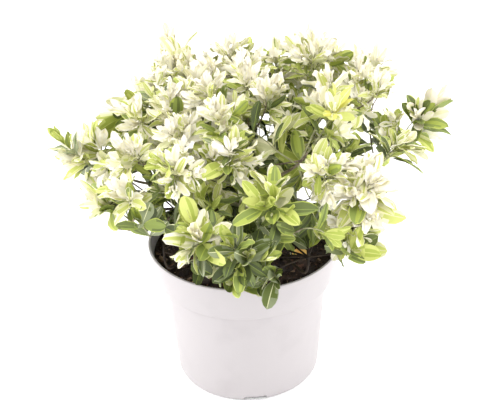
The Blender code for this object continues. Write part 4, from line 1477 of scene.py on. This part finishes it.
yellowed = grained_material(
    "yellowed_leaf", specular=0.4, scales=(700.0, 160.0), roughness=(0.40, 0.62),
    relief=LEAF_RELIEF, tones=FALLEN_TONES,
)
fallen_sheet = leaf_sheet(
    FALLEN_LENGTH, FALLEN_WIDTH, FALLEN_FOLD, FALLEN_CURL, 1.0, random.Random(FALLEN_SEED)
)
fallen_turn = Matrix.Rotation(FALLEN_TILT, 3, "X") @ Matrix.Rotation(FALLEN_TURN, 3, "Z")
fallen_place = np.array((*FALLEN_PLACE, soil_height(*FALLEN_PLACE) + FALLEN_LIFT))
fallen_points = (fallen_sheet @ np.array(fallen_turn).T + fallen_place).tolist()
fallen = new_piece("fallen_leaf", fallen_points, LEAF_FACES, [yellowed])
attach(fallen, "root")

# Floor, light and camera: a plain white floor under a white sky that lights it evenly from all
# round, soft square lamps at the left, the right and above the front, and the camera at the
# picture's angle.
FLOOR_SIZE = 12.0
FLOOR_WHITE = 0.97
FLOOR_ROUGHNESS = 0.9
ROOM_LIGHT = 1.64
LAMP_SIZE = 1.2
NEAREST_SEEN = 0.05
# Each lamp: its name, place, aim and power
LAMPS = (
    ("left_lamp", (-1.6, 0.1, 0.8), (0.0, 0.0, 0.15), 19.0),
    ("right_lamp", (1.6, 0.1, 0.5), (0.0, 0.0, 0.15), 15.0),
    ("front_lamp", (-0.1, -1.2, 1.5), (0.0, 0.0, 0.1), 4.0),
)

floor_material, floor_shader = new_material("white_floor", 0.1)
floor_shader.inputs["Roughness"].default_value = FLOOR_ROUGHNESS
floor_shader.inputs["Base Color"].default_value = (FLOOR_WHITE, FLOOR_WHITE, FLOOR_WHITE, 1.0)
floor_corners = [
    (x * FLOOR_SIZE / 2, y * FLOOR_SIZE / 2, 0.0) for x, y in ((-1, -1), (1, -1), (1, 1), (-1, 1))
]
floor = new_piece("floor", floor_corners, [(0, 1, 2, 3)], [floor_material])

world = bpy.data.worlds.new("studio")
world.use_nodes = True
background = world.node_tree.nodes["Background"]
background.inputs["Color"].default_value = (1.0, 1.0, 1.0, 1.0)
seen = world.node_tree.nodes.new("ShaderNodeLightPath")
limits = {"To Min": ROOM_LIGHT, "To Max": 1.0}
strength = new_node(world.node_tree, "ShaderNodeMapRange", limits)
world.node_tree.links.new(seen.outputs["Is Camera Ray"], strength.inputs["Value"])
world.node_tree.links.new(strength.outputs["Result"], background.inputs["Strength"])
bpy.context.scene.world = world

for name, place, aim, power in LAMPS:
    lamp_data = bpy.data.lights.new(name, "AREA")
    lamp_data.shape = "SQUARE"
    lamp_data.size = LAMP_SIZE
    lamp_data.energy = power
    lamp = bpy.data.objects.new(name, lamp_data)
    lamp.location = place
    lamp.rotation_mode = "QUATERNION"
    lamp.rotation_quaternion = (Vector(aim) - Vector(place)).to_track_quat("-Z", "Y")
    bpy.context.scene.collection.objects.link(lamp)

camera_data = bpy.data.cameras.new("camera")
camera_data.sensor_width = SENSOR_WIDTH
camera_data.lens = VIEW_LENS
camera_data.clip_start = NEAREST_SEEN
camera = bpy.data.objects.new("camera", camera_data)
bpy.context.scene.collection.objects.link(camera)
back, right, up = view_axes()
view_turn = Matrix((right, up, back)).transposed().to_4x4()
camera.matrix_world = Matrix.Translation(VIEWER) @ view_turn
bpy.context.scene.camera = camera
bpy.context.scene.view_settings.view_transform = "Standard"
